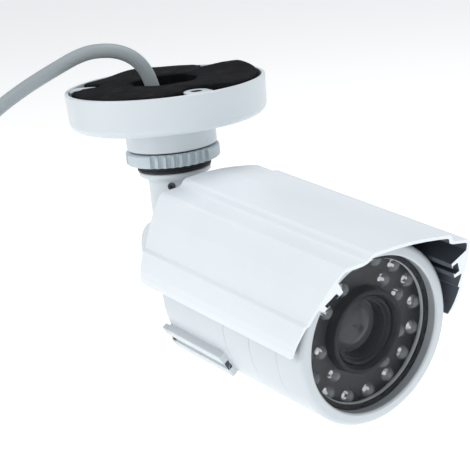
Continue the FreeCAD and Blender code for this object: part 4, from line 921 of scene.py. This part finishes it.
# rear housing: the tube, its two lower rails and its two upper tongues
def rear_housing():
    bm = bmesh.new()
    lathe_into(bm, fillet2d([(32.53, 29.8), (32.53, RB, 0.28), (68.97, RB, 0.28), (68.97, 29.8)], 4), BARREL, 192)

    def rail(ang, x0, x1, foot_x):
        prof = fillet2d([polar_pt(30.4, -4.9, ang), (*polar_pt(33.6, -5.6, ang), 0.8), (*polar_pt(35.2, -5.6, ang), 0.5), (*polar_pt(35.2, -1.6, ang), 0.25),
                         polar_pt(33.3, -1.6, ang), polar_pt(33.3, 1.6, ang), (*polar_pt(35.2, 1.6, ang), 0.25),
                         (*polar_pt(35.2, 5.6, ang), 0.5), (*polar_pt(33.6, 5.6, ang), 0.8), polar_pt(30.4, 4.9, ang)], 4)
        ins = inset(prof, 0.25)
        st = [(x0, 1), (x0 + 0.25, 0), (x1 - 0.25, 0), (x1, 1)]
        rings = [[bm.verts.new(bar(x, *(ins[i] if k else prof[i])) * MM) for i in range(len(prof))] for x, k in st]
        n = len(prof)
        for A, B in zip(rings, rings[1:]):
            for i in range(n):
                bm.faces.new((A[i], A[(i + 1) % n], B[(i + 1) % n], B[i]))
        bm.faces.new(rings[0]); bm.faces.new(list(reversed(rings[-1])))

    for ang in (217.0, -37.0):
        rail(ang, 32.6, 66.0, 30.8)
        # tail of the rail, standing past the housing's rear edge
        prof = fillet2d([(*polar_pt(32.9, -5.6, ang), 0.2), (*polar_pt(35.2, -5.6, ang), 0.5), (*polar_pt(35.2, -1.6, ang), 0.25), polar_pt(33.3, -1.6, ang),
                         polar_pt(33.3, 1.6, ang), (*polar_pt(35.2, 1.6, ang), 0.25), (*polar_pt(35.2, 5.6, ang), 0.5), (*polar_pt(32.9, 5.6, ang), 0.2)], 4)
        prism_into(bm, prof, [30.8, 33.2], lambda p, s: bar(s, p[0], p[1]))
    for ang in (143.0, 37.0):
        prof = [polar_pt(30.4, -1.0, ang), polar_pt(33.9, -1.0, ang), polar_pt(33.9, -2.0, ang), polar_pt(35.1, -2.0, ang),
                polar_pt(35.1, 2.0, ang), polar_pt(33.9, 2.0, ang), polar_pt(33.9, 1.0, ang), polar_pt(30.4, 1.0, ang)]
        prism_into(bm, prof, [34.0, 66.0], lambda p, s: bar(s, p[0], p[1]))
    ob = from_bmesh("housing_rear", bm, "barrel", "white_paint", angle=32)
    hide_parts("rear_housing")
    return ob


rear_housing()
cap = lathe("cap_rear", fillet2d([
    (19.6, 9.4, 0.2), (19.6, 19.8, 0.8), (26.4, 27.8, 6.0), (31.0, 31.7, 2.0), (32.47, 32.35, 0.4), (32.47, 29.7), (37.5, 29.7), (37.5, 27.6), (31.5, 27.6),
    (24.6, 21.5), (22.6, 18.0), (22.6, 13.4), (27.1, 13.4), (27.1, 9.4)], 8), BARREL, "barrel", "white_cast", 192)
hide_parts("rear_cap")

# ---------------------------------------------------------------------------
# Sunshield
# ---------------------------------------------------------------------------
OUT = [(36.2, -0.6), (36.7, 2.0), (36.7, 5.0), (36.3, 8.5), (35.7, 12.2), (34.5, 13.0), (33.9, 16.0),
       (32.9, 20.0), (31.5, 24.6), (29.9, 28.6), (29.0, 30.8), (28.2, 32.2), (27.0, 33.0), (25.4, 33.2),
       (20.2, 33.8), (18.9, 34.4), (17.9, 35.9), (16.7, 36.7), (12.0, 37.3), (6.0, 37.8)]
WALL = 1.5


def shield_outline():
    half = OUT + [(0.0, 38.0)]
    full = half + [(-a, b) for a, b in reversed(OUT)]
    nrm = []
    for i, p in enumerate(full):
        a = full[i - 1] if i > 0 else (p[0], p[1] - 1.0)
        b = full[i + 1] if i < len(full) - 1 else (p[0], p[1] - 1.0)
        d1 = Vector((p[0] - a[0], p[1] - a[1])).normalized()
        d2 = Vector((b[0] - p[0], b[1] - p[1])).normalized()
        n1, n2 = Vector((-d1.y, d1.x)), Vector((-d2.y, d2.x))
        nrm.append((n1 + n2) / (1 + n1.dot(n2)))
    inner = [Vector(p) + n * WALL for p, n in zip(full, nrm)]
    inner[0] = Vector((full[0][0] - WALL, full[0][1]))
    inner[-1] = Vector((full[-1][0] + WALL, full[-1][1]))

    def cross(p, q, a, b):
        r, s = q - p, b - a
        den = r.x * s.y - r.y * s.x
        if abs(den) < 1e-9:
            return None
        t = ((a.x - p.x) * s.y - (a.y - p.y) * s.x) / den
        u = ((a.x - p.x) * r.y - (a.y - p.y) * r.x) / den
        return (t, u, p + r * t) if -1e-6 <= t <= 1 + 1e-6 and -1e-6 <= u <= 1 + 1e-6 else None

    def chan(sgn):
        ang = 37.0
        pts = [(39.0, -5.5), (33.25, -4.3), (33.25, -1.45), (33.62, -1.45), (33.62, -2.5), (35.6, -2.5), (35.6, 2.5), (33.62, 2.5),
               (33.62, 1.45), (33.25, 1.45), (33.25, 4.3), (42.5, 6.0)]
        res = []
        for rho, tau in pts:
            v, w = polar_pt(rho, tau, ang)
            res.append(Vector((v * sgn, w)))
        return res

    # right side: inner wall runs from the lip upwards; splice in the channel
    def splice(line, ch):
        hits = []
        for e in ((0, 1), (len(ch) - 1, len(ch) - 2)):
            for i in range(len(line) - 1):
                h = cross(ch[e[0]], ch[e[1]], line[i], line[i + 1])
                if h:
                    hits.append((i, h[2]))
                    break
        (i0, p0), (i1, p1) = hits
        return line[:i0 + 1] + [p0] + ch[1:-1] + [p1] + line[i1 + 1:]

    mid = len(inner) // 2
    right = splice(inner[:mid + 1], chan(1))
    left_line = [Vector((-p.x, p.y)) for p in right]
    inner_path = right[:-1] + [inner[mid]] + list(reversed(left_line[:-1]))
    big = {4: 0.5, 5: 0.5, 9: 0.0, 11: 1.0, 12: 1.0, 14: 0.8, 16: 0.7, 17: 0.8}
    out_pts = []
    for i, p in enumerate(full):
        j = i if i <= mid else len(full) - 1 - i
        r = {0: 0.5, 4: 0.7, 5: 0.7, 10: 1.6, 11: 1.2, 12: 1.4, 14: 1.0, 15: 0.9, 16: 0.9, 17: 1.2}.get(j, 3.0)
        out_pts.append((p[0], p[1], r))
    in_pts = []
    for p in reversed(inner_path):
        in_pts.append((p.x, p.y, 0.25))
    in_pts[0] = (*in_pts[0][:2], 0.5)
    in_pts[-1] = (*in_pts[-1][:2], 0.5)
    shield_outline.n_out = len(fillet2d(out_pts + in_pts[:1], 3)) - 4
    return fillet2d(out_pts + in_pts, 3)


def sunshield():
    prof = shield_outline()
    ins = inset(prof, 0.1)
    bm = bmesh.new()
    n = len(prof)

    def xf(w):
        return 110.9 + 0.4416 * w

    tag = bm.faces.layers.int.new("inner")
    n_out = shield_outline.n_out
    side_faces = []
    rings = []
    for kind in ("r0", "r1", "f1", "f0"):
        ring = []
        for p, s in zip(prof, ins):
            if kind == "r0":
                v = bar(24.0, s[0], s[1])
            elif kind == "r1":
                v = bar(24.22, p[0], p[1])
            elif kind == "f1":
                v = bar(xf(p[1]) - 0.24, p[0], p[1])
            else:
                v = bar(xf(s[1]), s[0], s[1])
            ring.append(bm.verts.new(v * MM))
        rings.append(ring)
    for A, B in zip(rings, rings[1:]):
        for i in range(n):
            f = bm.faces.new((A[i], A[(i + 1) % n], B[(i + 1) % n], B[i]))
            f[tag] = 1 if n_out + 3 <= i < n - 4 else 0
            side_faces.append(f)
    from mathutils.geometry import tessellate_polygon
    for ring in (rings[0], rings[-1]):
        for tri in tessellate_polygon([[Vector((p[0], p[1], 0.0)) for p in ins]]):
            try:
                bm.faces.new([ring[i] for i in tri])
            except ValueError:
                pass
    bmesh.ops.recalc_face_normals(bm, faces=bm.faces)
    ob = from_bmesh("shield_hood", bm, "shield", "white_shield", angle=26, fix=False)
    # the inner faces take the dark material: painted shade inside the hood
    ob.data.materials.append(MAT["shield_inner_painted_shade"])
    for p in ob.data.polygons:
        if ob.data.attributes["inner"].data[p.index].value == 1:
            p.material_index = 1
    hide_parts("sunshield")
    return ob


sunshield()

# ---------------------------------------------------------------------------
# Lamps behind the window
# ---------------------------------------------------------------------------
OUTER = [(24.4, 11.25 + 22.5 * k) for k in range(16)]
INNER = [(18.4, a) for a in (60.0, 120.0, 30.0, 150.0, -15.0, -165.0, -52.0, -128.0)]


def lamp_frame(r, deg, k):
    a = math.radians(deg)
    return BARREL @ Matrix.Translation((98.0, r * math.cos(a), r * math.sin(a))) @ Matrix.Rotation(math.radians(90), 4, "Y") @ Matrix.Rotation(0.9 * k + a, 4, "Z")


bm_e, bm_m = bmesh.new(), bmesh.new()
dome = [(0.0, 0.0), (0.0, 2.85), (0.9, 2.85), (1.0, 2.5)] + [(x, 2.5) for x in (3.0, 5.2)] + [
    (5.9 + 2.45 * math.sin(t), 2.5 * math.cos(t)) for t in [math.radians(x) for x in (10, 22, 34, 46, 58, 70, 80)]] + [(8.4, 0.0)]
for k, (r, a) in enumerate(OUTER + INNER):
    mtx = lamp_frame(r, a, k)
    lathe_into(bm_e, dome, mtx, 28, "Z")
    # reflector cup, its post and the second lead inside the bulb
    lathe_into(bm_m, [(3.4, 0.0), (3.4, 0.5), (4.5, 0.85), (4.6, 0.78), (4.0, 0.35), (3.9, 0.0)], mtx @ Matrix.Translation((-0.45, 0.1, 0)), 7, "Z")
    for (px, py, sx, sy, z0, z1) in ((-0.6, 0.0, 0.30, 0.45, 0.4, 3.5), (1.35, 0.0, 0.16, 0.42, 0.4, 4.9), (0.95, 0.3, 0.5, 0.14, 4.5, 4.8), (-0.3, -1.25, 0.5, 0.12, 3.2, 5.3)):
        vs = []
        for z in (z0, z1):
            for ux, uy in ((-1, -1), (1, -1), (1, 1), (-1, 1)):
                vs.append(bm_m.verts.new((mtx @ Vector((px + ux * sx, py + uy * sy, z))) * MM))
        for q in ((0, 1, 2, 3), (7, 6, 5, 4), (0, 4, 5, 1), (1, 5, 6, 2), (2, 6, 7, 3), (3, 7, 4, 0)):
            bm_m.faces.new([vs[j] for j in q])
bulbs = from_bmesh("lamp_bulbs", bm_e, "barrel", "lamp_epoxy", angle=40)
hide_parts("infrared_lamps")
from_bmesh("lamp_frames", bm_m, "barrel", "lamp_metal_painted_glint", angle=15)

# lens: shroud tube, stepped barrel and the ringed front glass
sh = lathe("shroud_tube", fillet2d([(98.2, 12.8), (98.2, 15.2), (108.2, 15.2, 0.5), (108.2, 13.6, 0.5), (106.8, 12.8, 0.3)], 5), BARREL, "barrel", "shroud", 128)
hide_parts("lens_shroud")
lb = lathe("lens_tube", fillet2d([
    (80.0, 6.0), (80.0, 10.0), (82.4, 10.0), (82.4, 10.8), (96.4, 10.8), (96.4, 12.4), (106.2, 12.4, 0.5), (106.2, 11.3, 0.3), (104.9, 10.6, 0.1), (104.9, 10.2, 0.1),
    (103.7, 9.75, 0.1), (99.0, 9.75), (99.0, 6.0)], 4), BARREL, "barrel", "shroud", 128)
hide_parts("lens_barrel")
fe = lathe("lens_front", [(99.3, 0.0)] + [(99.3 + 5.1 * math.cos(t), 9.65 * math.sin(t)) for t in [math.radians(x) for x in (0, 8, 16, 24, 32, 40, 48, 56, 64, 70)]][1:] + [(99.6, 9.65), (99.3, 9.6)],
           BARREL, "barrel", "lens_glass", 96)
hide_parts("lens_front_element")

MAT["lens_grey"] = moulded("lens_grey", (0.26, 0.28, 0.30), rough=(0.25, 0.35), spec=0.6)
MAT["lens_mid"] = moulded("lens_mid", (0.17, 0.18, 0.20), rough=(0.25, 0.35), spec=0.6)
lathe("lens_stop_ring", [(99.45, 9.55), (99.45, 6.7), (99.7, 6.6), (100.3, 9.2), (100.3, 9.55)], BARREL, "barrel", "lens_grey", 96)
lathe("lens_stop_disc", [(99.35, 0.0), (99.35, 6.6), (99.6, 6.6), (99.5, 4.6), (99.62, 4.5), (99.5, 2.6), (99.55, 0.0)], BARREL, "barrel", "lens_mid", 96)

# ---------------------------------------------------------------------------
# Stage: floor, world, lights
# ---------------------------------------------------------------------------
bm = bmesh.new()
vs = [bm.verts.new((x, y, FL * MM)) for x, y in ((-9, -9), (9, -9), (9, 9), (-9, 9))]
bm.faces.new(vs)
me = bpy.data.meshes.new("floor")
bm.to_mesh(me)
bm.free()
floor = bpy.data.objects.new("floor", me)
bpy.context.scene.collection.objects.link(floor)
fm = bpy.data.materials.new("floor_pale")
nt, b = nodes_of(fm)
v = coords(nt)
nt.links.new(ramp(nt, noise(nt, v, 3.0, 2.0), [(0.0, (0.93, 0.935, 0.94)), (1.0, (0.95, 0.955, 0.96))]), b.inputs["Base Color"])
b.inputs["Roughness"].default_value = 0.9
b.inputs["Specular IOR Level"].default_value = 0.1
b.inputs["Emission Color"].default_value = (1.0, 1.0, 1.0, 1.0)
b.inputs["Emission Strength"].default_value = 0.40
me.materials.append(fm)

world = bpy.data.worlds.new("world")
world.use_nodes = True
bg = world.node_tree.nodes["Background"]
bg.inputs[0].default_value = (0.95, 0.975, 1.0, 1.0)
bg.inputs[1].default_value = 0.42
wt = world.node_tree
tc = wt.nodes.new("ShaderNodeTexCoord")
sx = wt.nodes.new("ShaderNodeSeparateXYZ")
wt.links.new(tc.outputs["Generated"], sx.inputs[0])
mr = wt.nodes.new("ShaderNodeMapRange")
mr.inputs["From Min"].default_value = 0.10
mr.inputs["From Max"].default_value = 0.26
mr.inputs["To Min"].default_value = 1.0
mr.inputs["To Max"].default_value = 0.42
wt.links.new(sx.outputs[2], mr.inputs["Value"])
wt.links.new(mr.outputs[0], bg.inputs[1])
bpy.context.scene.world = world
bpy.context.scene.view_settings.view_transform = "Standard"
bpy.context.scene.view_settings.look = "None"


def area(name, loc, target, size, power, colour=(1, 1, 1), size_y=None):
    ld = bpy.data.lights.new(name, "AREA")
    ld.energy = power
    ld.size = size
    ld.color = colour
    if size_y:
        ld.shape = "RECTANGLE"
        ld.size_y = size_y
    ob = bpy.data.objects.new(name, ld)
    ob.location = loc
    d = Vector(target) - Vector(loc)
    ob.rotation_euler = d.to_track_quat("-Z", "Y").to_euler()
    bpy.context.scene.collection.objects.link(ob)
    return ob


area("key", (-0.15, -1.2, 0.62), (0.04, 0, -0.06), 0.7, 6.0, (1.0, 0.995, 0.985))
area("top", (0.15, 0.35, 1.25), (0.04, 0, -0.06), 0.9, 10.5, (0.96, 0.98, 1.0))
area("front", (1.3, -0.15, 0.5), (0.06, 0, -0.07), 0.5, 1.6, (0.97, 0.99, 1.0))
